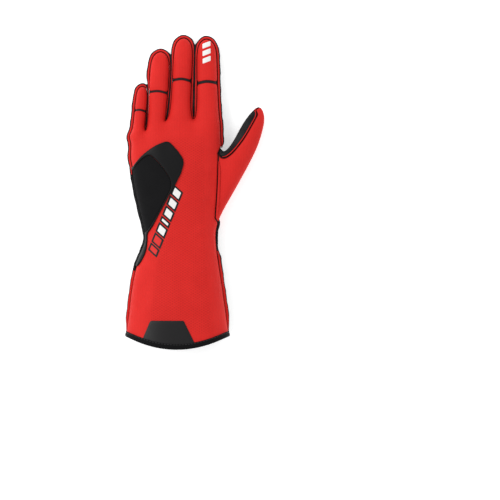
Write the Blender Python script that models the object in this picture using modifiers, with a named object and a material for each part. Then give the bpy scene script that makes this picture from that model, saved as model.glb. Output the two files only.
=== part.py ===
"""A gauntlet driving glove for the left hand, lying palm down with its fingers along +Y.

The whole glove is one coarse cage of quads, smoothed by subdivision. Each panel of cloth or suede is the
patch of that surface between its seams, given its own thickness. Strips, patches and grip pads lie on it.
Distances are in metres, +Z is up, the thumb is on the +X side and the floor is at Z = 0.
"""
import math

import bmesh
import bpy
import numpy as np
from mathutils import Matrix, Vector
from mathutils.bvhtree import BVHTree

MM = 0.001

# Widths, from the hand's axis out to the seam on each side.
WRIST_LITTLE_SIDE = 27.5 * MM
WRIST_THUMB_SIDE = 40.0 * MM
HEM_LITTLE_SIDE = 49.0 * MM
HEM_THUMB_SIDE = 53.5 * MM
PALM_LITTLE_SIDE = 43.5 * MM
PALM_THUMB_SIDE = 45.0 * MM

# Lengths, from the seam where the suede palm meets the cuff.
CUFF_LENGTH = 112.0 * MM
PALM_LENGTH = 100.0 * MM
WRIST_SEAM_Y = 8.0 * MM
HEM_DIP = 13.0 * MM

# Heights of the back of the glove, of the side seams and of the palm above the floor.
HEM_TOP = 52.0 * MM
WRIST_TOP = 34.0 * MM
PALM_TOP = 35.0 * MM
KNUCKLE_TOP = 30.0 * MM
HEM_SEAM_Z = 24.0 * MM
WRIST_SEAM_Z = 18.0 * MM
PALM_SEAM_Z = 15.0 * MM
WRIST_LIFT = 4.0 * MM

# Fingers, each from its crotch to its tip.
LITTLE_LENGTH = 47.0 * MM
RING_LENGTH = 76.0 * MM
MIDDLE_LENGTH = 84.0 * MM
INDEX_LENGTH = 84.0 * MM
LITTLE_WIDTH = 11.2 * MM
RING_WIDTH = 18.8 * MM
MIDDLE_WIDTH = 18.5 * MM
INDEX_WIDTH = 19.5 * MM
FINGER_DEPTH = 17.5 * MM
FINGER_ARCH = 2.5 * MM
KNUCKLE_SLIT = 2.0 * MM
KNUCKLE_CREASE = 0.8 * MM

# Thumb, from the middle of its base.
THUMB_LENGTH = 91.5 * MM
THUMB_WIDTH = 24.0 * MM
THUMB_DEPTH = 24.0 * MM
THUMB_SPLAY = math.radians(27.0)
THUMB_ROLL = math.radians(28.0)

# Cloth, seams and trim.
WALL = 1.6 * MM
GAP = 0.3 * MM
WELT_WIDTH = 2.1 * MM
WELT_THICKNESS = 1.3 * MM
LEAST_WELT_WIDTH = 0.6 * MM
GUSSET_THICKNESS = 1.0 * MM
BINDING_THICKNESS = 1.0 * MM
BINDING_DEPTH = 4.0 * MM
PAD_THICKNESS = 0.6 * MM
PATCH_THICKNESS = 1.0 * MM
FRAME_THICKNESS = 1.4 * MM
LABEL_THICKNESS = 0.7 * MM
THUMB_WELT_WIDTH = 1.2 * MM
BASE_WELT_THICKNESS = 0.8 * MM
BASE_WELT_LIFT = 0.8 * MM
GUSSET_WIDTH = 6.0 * MM
INLAY_MARGIN = 6.0 * MM
PLEAT_HEIGHT = 1.5 * MM
PLEAT_COUNT = 11

PALM_REST_Z = PAD_THICKNESS + GAP
HEM_REST_Z = BINDING_THICKNESS + GAP

# Looks, as base colour, roughness and metallic.
RED_KNIT = ("red_knit", (0.76, 0.028, 0.022), 0.72)
BLACK_SUEDE = ("black_suede", (0.012, 0.012, 0.013), 0.9)
BLACK_STRETCH = ("black_stretch", (0.014, 0.014, 0.016), 0.8)
BLACK_NEOPRENE = ("black_neoprene", (0.016, 0.017, 0.018), 0.6)
BLACK_RUBBER = ("black_rubber", (0.02, 0.021, 0.021), 0.38)
GREY_SILICONE = ("grey_silicone", (0.13, 0.135, 0.135), 0.55)

# A ring of the hand has 20 points: the little finger's side seam, nine over the back from there to the
# thumb side, the thumb's side seam, and nine under the palm on the way back.
BACK_POINTS = 9
RING_POINTS = 2 * BACK_POINTS + 2
THUMB_SEAM = BACK_POINTS + 1

# Where the back's nine points stand across the knuckles and across the cuff, as shares of the width.
KNUCKLE_ACROSS = (0.025, 0.070, 0.165, 0.275, 0.385, 0.545, 0.70, 0.862, 0.985)
EVEN_ACROSS = (0.03, 0.14, 0.26, 0.38, 0.50, 0.62, 0.74, 0.86, 0.98)

# The hand's sections. "along" is a share of the cuff's or the palm's length. The other columns are shares of
# the way from the wrist's size to the hem's or the palm's, and "knuckle" blends the two spacings above.
SECTIONS = (
    # zone, along, little side, thumb side, top, seam, lift, knuckle
    ("cuff", 1.00, 1.00, 1.00, 1.00, 1.00, 0.0, 0.0),
    ("cuff", 0.80, 0.86, 0.76, 0.84, 0.85, 0.0, 0.0),
    ("cuff", 0.57, 0.73, 0.50, 0.55, 0.60, 0.0, 0.0),
    ("cuff", 0.34, 0.50, 0.19, 0.22, 0.30, 0.5, 0.0),
    ("cuff", 0.16, -0.06, 0.00, 0.00, 0.05, 1.0, 0.1),
    ("palm", 0.00, 0.26, 0.06, 0.00, 0.00, 0.0, 0.2),
    ("palm", 0.37, 0.82, 0.90, 1.00, 0.60, 0.0, 0.4),
    ("palm", 0.70, 1.07, 1.06, 1.00, 1.00, 0.0, 0.8),
)

# Where the knuckle line crosses each point of the back, as shares of the palm's length.
KNUCKLE_ALONG = (0.90, 0.905, 0.91, 0.96, 1.015, 1.03, 1.025, 1.01, 0.99)

# Each finger's length and width, the point of the back at its root, and its lean towards the thumb. Its
# slit is a share of its length, its heights at root and tip are shares of the finger's depth, and the width
# of its root is a share of its own width.
FINGERS = (
    # name, length, width, first point, lean in degrees, slit, root height, tip height, root width
    ("little", LITTLE_LENGTH, LITTLE_WIDTH, 0, 6.0, 0.50, 0.70, 0.54, 0.96),
    ("ring", RING_LENGTH, RING_WIDTH, 2, 3.6, 0.48, 0.82, 0.56, 0.82),
    ("middle", MIDDLE_LENGTH, MIDDLE_WIDTH, 4, 2.7, 0.52, 0.84, 0.60, 1.02),
    ("index", INDEX_LENGTH, INDEX_WIDTH, 6, -1.0, 0.50, 0.84, 0.60, 1.11),
)

# The finger's rings between the knuckle line and the tip. "along" is a share of the way from the root to
# the slit, or from the slit to the tip. Width and depth are shares of the finger's own.
FINGER_RINGS = (
    # part, along, width, depth
    ("root", 0.17, 1.00, 1.02),
    ("root", 1.00, 1.00, 1.00),
    ("tip", 0.50, 1.02, 0.98),
    ("tip", 0.89, 0.90, 0.80),
)

# The thumb's rings, each by its outer and inner point: along the thumb as a share of its length, sideways
# as a share of its width. Depth and height are shares of the thumb's depth, roll is a share of its roll.
THUMB_RINGS = (
    # outer along, outer side, inner along, inner side, depth, height, roll
    (0.00, 0.60, 0.40, -0.43, 1.02, 0.56, 0.1),
    (0.29, 0.64, 0.50, -0.35, 0.98, 0.55, 0.4),
    (0.56, 0.65, 0.64, -0.33, 0.86, 0.52, 0.8),
    (0.76, 0.53, 0.79, -0.31, 0.74, 0.50, 1.0),
    (0.93, 0.36, 0.94, -0.20, 0.50, 0.50, 1.0),
)
THUMB_TIP_HEIGHT = 0.52

# A smooth ring with eight points shrinks by this share when it is subdivided, so its cage stands outside.
EIGHT_POINT_CAGE = 1.0 / 0.9024
CORNER_FULLNESS = 0.78

# The rubber frame on the back, outer and inner edge, from the little finger's side round its corner and
# back, as shares of the hand's width on that side and of the palm's length.
FRAME_OUTER = (
    # across, along
    (-1.20, 0.50), (-1.00, 0.53), (-0.90, 0.60), (-0.775, 0.665), (-0.61, 0.725), (-0.41, 0.78),
    (-0.22, 0.812), (-0.12, 0.808), (0.065, 0.72), (0.18, 0.645), (0.20, 0.592), (0.14, 0.494), (0.02, 0.387),
    (-0.14, 0.262), (-0.345, 0.10), (-0.51, -0.024), (-0.61, -0.113), (-0.675, -0.202), (-0.70, -0.30),
    (-0.80, -0.41), (-1.20, -0.48),
)
FRAME_INNER = (
    # across, along
    (-1.20, 0.47), (-0.98, 0.515), (-0.87, 0.585), (-0.735, 0.645), (-0.61, 0.677), (-0.53, 0.672),
    (-0.385, 0.61), (-0.22, 0.52), (-0.095, 0.432), (-0.075, 0.385), (-0.105, 0.325), (-0.225, 0.226),
    (-0.365, 0.11), (-0.51, 0.00), (-0.63, -0.09), (-1.20, -0.14),
)

# The label at the hem, as shares of the hem's width on that side and of the cuff's length.
LABEL_OUTLINE = (
    # across, up, whether it follows the hem
    (-0.65, 0.00, True), (-0.33, 0.00, True), (0.0, 0.00, True), (0.38, 0.00, True),
    (0.17, 0.10, False), (-0.49, 0.10, False),
)

# The grips under the palm, as shares of the hand's width on that side and of the palm's length.
PALM_GRIPS = (
    # name, corners as (across, along)
    ("palm_grip_little", ((-0.86, 0.79), (-0.66, 0.85), (-0.52, 0.80), (-0.70, 0.745))),
    ("palm_grip_ring", ((-0.69, 0.73), (-0.455, 0.77), (-0.36, 0.70), (-0.25, 0.79), (-0.055, 0.80), (0.05, 0.73),
                        (0.03, 0.66), (-0.36, 0.636))),
    ("palm_grip_middle", ((0.08, 0.69), (0.16, 0.82), (0.35, 0.855), (0.575, 0.752), (0.09, 0.665))),
    ("palm_grip_index", ((0.56, 0.78), (0.68, 0.89), (0.86, 0.91), (0.90, 0.84), (0.80, 0.79), (0.58, 0.748))),
    ("heel_grip_side", ((-0.86, 0.70), (-0.66, 0.47), (-0.74, 0.335), (-0.86, 0.325))),
    ("heel_grip_corner", ((-0.77, 0.32), (-0.85, 0.28), (-0.79, 0.215))),
    ("heel_grip_outer", ((-0.72, 0.325), (-0.61, 0.337), (-0.635, 0.222), (-0.42, 0.074), (-0.67, 0.07),
                         (-0.77, 0.19))),
    ("heel_grip_small", ((0.21, 0.473), (0.48, 0.441), (0.135, 0.329))),
    ("heel_grip_inner", ((0.17, 0.293), (0.58, 0.425), (0.84, 0.421), (0.45, 0.166), (0.26, 0.182), (0.32, 0.106),
                         (0.23, 0.034), (-0.08, 0.066), (0.085, 0.158))),
    ("web_grip_lower", ((0.30, 0.497), (0.50, 0.525), (0.72, 0.501), (0.88, 0.473), (0.70, 0.457))),
    ("web_grip_upper", ((0.67, 0.533), (0.86, 0.57), (0.90, 0.50), (0.80, 0.493))),
)

# The grips under each finger, as shares of half its width and of its length.
FINGER_GRIPS = (
    # name, corners as (across, along)
    ("root_grip", ((-0.60, -0.06), (0.10, 0.04), (0.56, -0.03), (-0.05, -0.12))),
    ("low_grip", ((-0.62, 0.36), (0.62, 0.17), (-0.50, 0.06))),
    ("high_grip", ((0.62, 0.76), (0.62, 0.60), (-0.60, 0.63))),
    ("tip_grip", ((-0.32, 0.93), (0.34, 0.93), (0.62, 0.81), (-0.62, 0.79))),
)

# The grips under the thumb, as shares of its width and of its length.
THUMB_GRIPS = (
    # name, corners as (across, along)
    ("thumb_grip_low", ((-0.10, 0.50), (0.24, 0.56), (-0.08, 0.66))),
    ("thumb_grip_middle", ((-0.06, 0.70), (0.26, 0.61), (0.24, 0.78), (0.02, 0.80))),
    ("thumb_grip_tip", ((0.0, 0.84), (0.24, 0.82), (0.18, 0.93), (0.04, 0.93))),
)

# Panels, numbered as the cage's faces are.
PANELS = (
    ("back_panel", RED_KNIT),
    ("little_tip_back", RED_KNIT),
    ("ring_tip_back", RED_KNIT),
    ("middle_tip_back", RED_KNIT),
    ("index_tip_back", RED_KNIT),
    ("thumb_back", RED_KNIT),
    ("palm_panel", BLACK_SUEDE),
    ("thumb_palm", BLACK_SUEDE),
    ("cuff_palm", BLACK_STRETCH),
)
BACK, LITTLE_TIP, THUMB_BACK, PALM, THUMB_PALM, CUFF_PALM = 0, 1, 5, 6, 7, 8


def clear_scene():
    for item in list(bpy.data.objects):
        bpy.data.objects.remove(item)


def material(look):
    """The Principled material of one finish, made once."""
    name, colour, roughness = look
    found = bpy.data.materials.get(name)
    if found:
        return found
    made = bpy.data.materials.new(name)
    made.use_nodes = True
    shader = made.node_tree.nodes["Principled BSDF"]
    shader.inputs["Base Color"].default_value = (*colour, 1.0)
    shader.inputs["Roughness"].default_value = roughness
    return made


def add_object(name, points, faces, look, folder):
    mesh = bpy.data.meshes.new(name)
    mesh.from_pydata([tuple(p) for p in points], [], faces)
    mesh.validate()
    mesh.materials.append(material(look))
    made = bpy.data.objects.new(name, mesh)
    folder.objects.link(made)
    return made


def crown(across):
    """Height of the back over the seam at a share across the hand, 0 at the seams and 1 in the middle."""
    return (1 - abs(2 * across - 1) ** 2.6) ** (1 / 2.6)


def between(start, end, share):
    return start + (end - start) * share


def unit(vector):
    return vector / np.linalg.norm(vector)


def hand_ring(row):
    """The 20 cage points of one section of the cuff or the hand."""
    zone, along, little, thumb, top, seam, lift, knuckle = row
    cuff = zone == "cuff"
    y = WRIST_SEAM_Y + (-CUFF_LENGTH if cuff else PALM_LENGTH) * along
    left = -between(WRIST_LITTLE_SIDE, HEM_LITTLE_SIDE if cuff else PALM_LITTLE_SIDE, little)
    right = between(WRIST_THUMB_SIDE, HEM_THUMB_SIDE if cuff else PALM_THUMB_SIDE, thumb)
    top_z = between(WRIST_TOP, HEM_TOP if cuff else PALM_TOP, top)
    seam_z = between(WRIST_SEAM_Z, HEM_SEAM_Z if cuff else PALM_SEAM_Z, seam)
    rest_z = (HEM_REST_Z if cuff else PALM_REST_Z) + WRIST_LIFT * lift
    dip = HEM_DIP * max(0.0, 1 - (1 - along) / 0.45) if cuff else 0.0
    ring = np.zeros((RING_POINTS, 3))
    bulge = 0.014 * (right - left)
    ring[0] = (left - bulge, y, seam_z)
    ring[THUMB_SEAM] = (right + bulge, y, seam_z)
    for k in range(BACK_POINTS):
        across = between(EVEN_ACROSS[k], KNUCKLE_ACROSS[k], knuckle)
        x = between(left, right, across)
        sag = dip * (1 - (2 * across - 1) ** 2)
        floor_share = 0.86 if k in (0, BACK_POINTS - 1) else 1.0
        ring[1 + k] = (x, y - sag, seam_z + (top_z - seam_z) * 1.03 * crown(across))
        ring[RING_POINTS - 1 - k] = (x, y - sag, seam_z - (seam_z - rest_z) * floor_share)
    return ring


def finger_axis(row, knuckles):
    """The root, direction and length of a finger, from the knuckle line's points at its two sides."""
    root = (knuckles[1 + row[3]] + knuckles[3 + row[3]]) / 2
    root[0] = knuckles[2 + row[3]][0]
    lean = math.radians(row[4])
    return root, np.array([math.sin(lean), math.cos(lean), 0.0]), row[1]


def finger_height(row, share):
    """Height of the finger's middle above the floor: down from root to tip, over the finger's arch."""
    height = between(row[6], row[7], share) * FINGER_DEPTH
    return PALM_REST_Z + height + FINGER_ARCH * 4 * share * (1 - share)


def eight_ring(centre, sideways, half_width, half_depth, roll=0.0):
    """Eight cage points round a centre, from the little finger's side over the back."""
    ring = np.zeros((8, 3))
    corner = CORNER_FULLNESS
    places = ((-1, 0), (-corner, corner), (0, 1), (corner, corner), (1, 0), (corner, -corner), (0, -1), (-corner, -corner))
    for k, (across, up) in enumerate(places):
        wide = across * math.cos(roll) + up * math.sin(roll)
        high = up * math.cos(roll) - across * math.sin(roll)
        ring[k] = centre + sideways * wide * half_width * EIGHT_POINT_CAGE
        ring[k][2] += high * half_depth * EIGHT_POINT_CAGE
    return ring


def tip_point(last_centre, limit_point):
    """The cage point past a tip that brings the smooth tip to its limit point."""
    return (limit_point - 0.556 * last_centre) / 0.444


def finger_rings(row, knuckles):
    """The finger's rings of eight, and its tip point."""
    root, forward, length = finger_axis(row, knuckles)
    sideways = np.array([forward[1], -forward[0], 0.0])
    slit = row[5]
    rings = []
    for part, along, width, depth in FINGER_RINGS:
        share = slit * along if part == "root" else between(slit, 1.0, along)
        centre = root + forward * length * share
        centre[2] = finger_height(row, share)
        width *= between(row[8], 1.0, along) if part == "root" else 1.0
        rings.append(eight_ring(centre, sideways, row[2] / 2 * width, FINGER_DEPTH / 2 * depth))
        if part == "root" and along == 1.0:
            rings[-1][2] += forward * 0.035 * length
    limit = root + forward * length
    limit[2] = finger_height(row, 1.0)
    return rings, tip_point(rings[-1].mean(axis=0), limit)


def thumb_rings(base):
    """The thumb's rings of eight and its tip point, from the middle of its base."""
    forward = np.array([math.sin(THUMB_SPLAY), math.cos(THUMB_SPLAY), 0.0])
    outwards = np.array([forward[1], -forward[0], 0.0])
    rings = []
    for outer_along, outer_side, inner_along, inner_side, depth, height, roll in THUMB_RINGS:
        outer = base + forward * THUMB_LENGTH * outer_along + outwards * THUMB_WIDTH * outer_side
        inner = base + forward * THUMB_LENGTH * inner_along + outwards * THUMB_WIDTH * inner_side
        centre = (outer + inner) / 2
        centre[2] = PALM_REST_Z + height * THUMB_DEPTH
        span = outer - inner
        span[2] = 0.0
        half_width = np.linalg.norm(span) / 2
        ring = eight_ring(centre, span / (2 * half_width), half_width, THUMB_DEPTH / 2 * depth, THUMB_ROLL * roll)
        rings.append(ring)
    limit = base + forward * THUMB_LENGTH
    limit[2] = PALM_REST_Z + THUMB_TIP_HEIGHT * THUMB_DEPTH
    return rings, tip_point(rings[-1].mean(axis=0), limit)


class Cage:
    """The glove's cage: points, quads and the panel that each quad belongs to."""

    def __init__(self):
        self.points = []
        self.faces = []
        self.panels = []

    def add(self, points):
        first = len(self.points)
        self.points.extend(np.array(p, float) for p in points)
        return list(range(first, len(self.points)))

    def face(self, corners, panel):
        self.faces.append(tuple(corners))
        self.panels.append(panel)

    def tube(self, lower, upper, panel_of, split=None):
        """A band of quads between two rings. One of them can be split between its neighbours' panels."""
        count = len(lower)
        for k in range(count):
            after = (k + 1) % count
            if k == split:
                self.face((lower[k], lower[after], upper[k]), panel_of(k - 1))
                self.face((lower[after], upper[after], upper[k]), panel_of(k))
                continue
            self.face((lower[k], lower[after], upper[after], upper[k]), panel_of(k))

    def cap(self, ring, tip, panel_of):
        """Four quads that close a ring of eight at its tip."""
        for k in range(0, 8, 2):
            self.face((ring[k], ring[k + 1], ring[(k + 2) % 8], tip), panel_of(k))


def hand_panel(zone, k):
    """The panel of the k-th face round the hand: over the back, or under the palm or cuff."""
    if k <= BACK_POINTS:
        return BACK
    return CUFF_PALM if zone == "cuff" else PALM


def finger_panel(number, beyond_slit):
    def panel_of(k):
        if k >= 4:
            return PALM
        return LITTLE_TIP + number if beyond_slit else BACK
    return panel_of


def thumb_panel(k):
    """The thumb's ring starts at its inner side: red over the top and the outside, suede beneath."""
    return THUMB_BACK if 1 <= k <= 4 else THUMB_PALM


def glove_cage():
    """The whole glove's cage, hem open, fingers and thumb closed."""
    cage = Cage()
    rings = [hand_ring(row) for row in SECTIONS]
    shapes = [cage.add(ring) for ring in rings]
    for row, lower, upper in zip(SECTIONS, shapes[:-1], shapes[1:]):
        zone = row[0]
        for k in range(RING_POINTS):
            if zone == "palm" and k in (THUMB_SEAM - 1, THUMB_SEAM):
                continue
            after = (k + 1) % RING_POINTS
            if lower is shapes[5] and k == THUMB_SEAM + 1:
                cage.face((lower[k], lower[after], upper[k]), THUMB_BACK)
                cage.face((lower[after], upper[after], upper[k]), PALM)
                continue
            cage.face((lower[k], lower[after], upper[after], upper[k]), hand_panel(zone, k))
    add_fingers(cage, shapes[-1])
    add_thumb(cage, shapes[5], shapes[6], shapes[7])
    return cage


def knuckle_line():
    """The ring of points where the fingers begin, drawn down between them."""
    top = SECTIONS[-1]
    knuckle = hand_ring(top[:1] + (1.0, 1.0, 1.0) + top[4:7] + (1.0,))
    for k, along in enumerate(KNUCKLE_ALONG):
        back, under = 1 + k, RING_POINTS - 1 - k
        knuckle[back][1] = knuckle[under][1] = WRIST_SEAM_Y + PALM_LENGTH * along
        valley = k % 2 == 0
        seam = PALM_SEAM_Z
        knuckle[back][2] = seam + (KNUCKLE_TOP - seam) * (0.80 if valley else 1.0)
        knuckle[under][2] = PALM_REST_Z + KNUCKLE_CREASE * (2.0 if valley else 1.0)
    knuckle[0][1] = knuckle[1][1]
    knuckle[THUMB_SEAM][1] = knuckle[BACK_POINTS][1]
    return knuckle


def add_fingers(cage, last):
    """The four fingers beyond the knuckle line and the crotches between them."""
    knuckle = knuckle_line()
    line = cage.add(knuckle)
    for k in range(RING_POINTS):
        after = (k + 1) % RING_POINTS
        cage.face((last[k], last[after], line[after], line[k]), hand_panel("palm", k))
    crotches = [line[0]]
    for row in FINGERS[1:]:
        valley = (knuckle[1 + row[3]] + knuckle[RING_POINTS - 1 - row[3]]) / 2
        crotches += cage.add([valley])
    crotches.append(line[THUMB_SEAM])
    for number, row in enumerate(FINGERS):
        first = row[3]
        rings, tip = finger_rings(row, knuckle)
        back = [line[1 + first + k] for k in range(3)]
        under = [line[RING_POINTS - 1 - first - k] for k in (2, 1, 0)]
        ring = [crotches[number], *back, crotches[number + 1], *under]
        for depth, points in enumerate(rings):
            above = cage.add(points)
            cage.tube(ring, above, finger_panel(number, depth >= 2))
            ring = above
        cage.cap(ring, cage.add([tip])[0], finger_panel(number, True))


def thumb_base(wrist_ring, web_ring):
    """The middle of the thumb's base, between the hand's side at the wrist and at the web."""
    return (wrist_ring[THUMB_SEAM] + web_ring[THUMB_SEAM]) / 2


def add_thumb(cage, wrist, middle, web):
    """The thumb, grown from the gap in the hand's side between the wrist and the web."""
    seam, back, under = THUMB_SEAM, THUMB_SEAM - 1, THUMB_SEAM + 1
    ring = [web[seam], web[back], middle[back], wrist[back], wrist[seam], wrist[under], middle[under], web[under]]
    base = thumb_base(hand_ring(SECTIONS[5]), hand_ring(SECTIONS[7]))
    rings, tip = thumb_rings(base)
    for depth, points in enumerate(rings):
        above = cage.add(points)
        cage.tube(ring, above, thumb_panel, split=5 if depth == 0 else None)
        ring = above
    cage.cap(ring, cage.add([tip])[0], lambda k: THUMB_BACK if k == 2 else THUMB_PALM)


def smooth_glove(cage):
    """The subdivided glove, as points, quads, the quads' panels and the points' outward directions."""
    mesh = bpy.data.meshes.new("glove_cage")
    mesh.from_pydata([tuple(p) for p in cage.points], [], cage.faces)
    for number in range(len(PANELS)):
        mesh.materials.append(None)
    mesh.polygons.foreach_set("material_index", cage.panels)
    guide = bpy.data.objects.new("glove_cage", mesh)
    bpy.context.scene.collection.objects.link(guide)
    smooth = guide.modifiers.new("smooth", "SUBSURF")
    smooth.levels = smooth.render_levels = 1
    bpy.context.view_layer.update()
    result = bpy.data.meshes.new_from_object(guide.evaluated_get(bpy.context.evaluated_depsgraph_get()))
    points = np.array([v.co for v in result.vertices], float)
    normals = np.array([v.normal for v in result.vertices], float)
    faces = [tuple(p.vertices) for p in result.polygons]
    panels = [p.material_index for p in result.polygons]
    bpy.data.objects.remove(guide)
    return points, faces, panels, normals


def boundary_edges(faces):
    """The directed edges that only one face has, as a dictionary from each start to its end."""
    edges = {(f[k], f[(k + 1) % len(f)]) for f in faces for k in range(len(f))}
    return {a: b for a, b in edges if (b, a) not in edges}


def boundary_loops(edges):
    """The closed loops that the boundary edges make."""
    left = dict(edges)
    loops = []
    while left:
        start, point = left.popitem()
        loop = [start]
        while point != start:
            loop.append(point)
            point = left.pop(point)
        loops.append(loop)
    return loops


def pulled_in(points, normals, faces, gap_at):
    """The panel's points, with those on its edge drawn in along the surface, square to the edge."""
    moved = points.copy()
    for loop in boundary_loops(boundary_edges(faces)):
        for before, here, after in zip(loop[-1:] + loop[:-1], loop, loop[1:] + loop[:1]):
            along = points[after] - points[before]
            inwards = np.cross(normals[here], along)
            moved[here] = points[here] + unit(inwards) * gap_at(here)
    return moved


def halved(points, faces):
    """Quads split along their shorter diagonal, so that every offset of the surface folds the same way."""
    made = []
    for face in faces:
        if len(face) == 4:
            a, b, c, d = face
            if np.linalg.norm(points[a] - points[c]) <= np.linalg.norm(points[b] - points[d]):
                made += [(a, b, c), (a, c, d)]
            else:
                made += [(a, b, d), (b, c, d)]
        else:
            made.append(face)
    return made


def walled(points, normals, faces, outer, inner):
    """A closed wall between two offsets of an open surface, with rims square to it."""
    used = sorted({corner for face in faces for corner in face})
    place = {corner: k for k, corner in enumerate(used)}
    count = len(used)
    skin = points[used]
    away = normals[used]
    made = [tuple(place[c] for c in face) for face in faces]
    made += [tuple(place[c] + count for c in reversed(face)) for face in faces]
    for a, b in boundary_edges(faces).items():
        made.append((place[b], place[a], place[a] + count, place[b] + count))
    return np.concatenate([skin + away * outer, skin + away * inner]), made


def gathered(points):
    """The cuff's underside with its gathers: pleats at the wrist that fade into broad folds below."""
    moved = points.copy()
    little = np.interp(points[:, 1], (WRIST_SEAM_Y - CUFF_LENGTH, WRIST_SEAM_Y), (-HEM_LITTLE_SIDE, -WRIST_LITTLE_SIDE))
    thumb = np.interp(points[:, 1], (WRIST_SEAM_Y - CUFF_LENGTH, WRIST_SEAM_Y), (HEM_THUMB_SIDE, WRIST_THUMB_SIDE))
    across = np.clip((points[:, 0] - little) / (thumb - little), 0, 1)
    down = (WRIST_SEAM_Y - points[:, 1]) / CUFF_LENGTH
    inside = np.clip(np.minimum(across, 1 - across) / 0.12, 0, 1)
    pleats = np.clip(down / 0.07, 0, 1) * np.clip((0.34 - down) / 0.16, 0, 1)
    folds = np.clip(down / 0.2, 0, 1) * np.clip((0.72 - down) / 0.35, 0, 1)
    wave = pleats * np.cos(2 * math.pi * PLEAT_COUNT * across)
    wave += folds * 0.8 * np.cos(2 * math.pi * (PLEAT_COUNT // 3) * across)
    moved[:, 2] += PLEAT_HEIGHT * inside * wave
    return moved


def finer_across(points, normals, faces):
    """The cuff's underside with a new point in the middle of each edge that runs across it."""
    points, normals = list(points), list(normals)
    middles = {}
    made = []

    def middle(a, b):
        key = (min(a, b), max(a, b))
        if key not in middles:
            middles[key] = len(points)
            points.append((points[a] + points[b]) / 2)
            direction = normals[a] + normals[b]
            normals.append(direction / np.linalg.norm(direction))
        return middles[key]

    for a, b, c, d in faces:
        first = abs(points[b][0] - points[a][0]) + abs(points[b][2] - points[a][2])
        second = abs(points[c][0] - points[b][0]) + abs(points[c][2] - points[b][2])
        if first < second:
            a, b, c, d = b, c, d, a
        ab, cd = middle(a, b), middle(c, d)
        made += [(a, ab, cd, d), (ab, b, c, cd)]
    return np.array(points), np.array(normals), made


def seam_chains(faces, panels, inside, outside):
    """The chains of points along the seams between two sets of panels, in order along each."""
    other = {(f[(k + 1) % len(f)], f[k]) for f, p in zip(faces, panels) if p in outside for k in range(len(f))}
    own = {(f[k], f[(k + 1) % len(f)]) for f, p in zip(faces, panels) if p in inside for k in range(len(f))}
    follow = dict(own & other)
    starts = set(follow) - set(follow.values())
    chains = []
    for start in sorted(starts):
        chain = [start]
        while chain[-1] in follow:
            chain.append(follow[chain[-1]])
        chains.append(chain)
    return chains


def swept(sections, closed=False):
    """A solid through sections that have the same number of corners, capped unless it closes on itself."""
    points = np.concatenate(sections)
    size = len(sections[0])
    faces = []
    for n in range(len(sections) if closed else len(sections) - 1):
        here, there = n * size, (n + 1) % len(sections) * size
        for k in range(size):
            after = (k + 1) % size
            faces.append((here + k, here + after, there + after, there + k))
    if not closed:
        faces.append(tuple(range(size))[::-1])
        faces.append(tuple(range(len(points) - size, len(points))))
    return points, faces


def frames_along(points, normals, chain):
    """At each point of a chain: the point, its outward direction and the direction across the seam."""
    frames = []
    for n, here in enumerate(chain):
        before, after = chain[max(n - 1, 0)], chain[min(n + 1, len(chain) - 1)]
        along = unit(unit(points[after] - points[here]) + unit(points[here] - points[before])) \
            if before != here != after else unit(points[after] - points[before])
        away = unit(normals[here] - along * normals[here].dot(along))
        frames.append((points[here], away, np.cross(along, away)))
    return frames


def trimmed(frames, length):
    """The frames without the first stretch of the chain."""
    (start, away, across), (after, *_) = frames[0], frames[1]
    share = length / np.linalg.norm(after - start)
    return [(between(start, after, share), away, across)] + frames[1:]


def clear_width(tree, point, away, across, width):
    """How wide a welt can stand at a point and still clear what it faces."""
    room = width
    for side in (-WELT_THICKNESS / 2, 0.0, WELT_THICKNESS / 2):
        hit = tree.ray_cast(Vector(point + away * GAP + across * side), Vector(away))
        if hit[0] is not None:
            room = min(room, (hit[3] - 2 * GAP) / 2)
    return max(room, LEAST_WELT_WIDTH)


def add_welt(name, frames, tree, width, folder):
    """A flat seam allowance that stands out from a seam."""
    half = WELT_THICKNESS / 2
    sections = []
    for point, away, across in frames:
        reach = GAP + clear_width(tree, point, away, across, width)
        corners = ((GAP, -half), (reach, -half), (reach, half), (GAP, half))
        sections.append(np.array([point + away * out + across * side for out, side in corners]))
    add_object(name, *swept(sections), RED_KNIT, folder)


def add_welts(glove, folder):
    points, faces, panels, normals = glove
    tree = BVHTree.FromPolygons([tuple(p) for p in points], faces)
    backs = {BACK, *range(LITTLE_TIP, THUMB_BACK)}
    hem_room = BINDING_DEPTH + 2 * GAP
    for chain in seam_chains(faces, panels, backs, {PALM, CUFF_PALM}):
        frames = frames_along(points, normals, chain)
        if len(chain) > 2 * RING_POINTS:
            add_welt("hand_welt", trimmed(frames[::-1], hem_room)[::-1], tree, WELT_WIDTH, folder)
        else:
            add_welt("cuff_welt", trimmed(frames, hem_room)[:-1], tree, WELT_WIDTH, folder)
    round_thumb = seam_chains(faces, panels, {THUMB_BACK}, {THUMB_PALM, PALM})[0]
    tip = max(range(len(round_thumb)), key=lambda n: points[round_thumb[n]][1])
    frames = frames_along(points, normals, round_thumb[tip:])
    add_welt("thumb_welt", frames[1:-1], tree, THUMB_WELT_WIDTH, folder)
    add_base_welt(glove, folder)


def add_base_welt(glove, folder):
    """The flat seam allowance that lies on the thumb along its seam with the back of the hand."""
    points, faces, panels, normals = glove
    chain = seam_chains(faces, panels, {BACK}, {THUMB_BACK})[0]
    sections = []
    for point, away, across in frames_along(points, normals, chain)[1:-1]:
        low, high = BASE_WELT_LIFT, BASE_WELT_LIFT + BASE_WELT_THICKNESS
        corners = ((low, 1), (low, 0), (high, 0), (high, 1))
        sections.append(np.array([point + away * out + across * (GAP + WELT_WIDTH * side) for out, side in corners]))
    add_object("thumb_base_welt", *swept(sections), RED_KNIT, folder)


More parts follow.
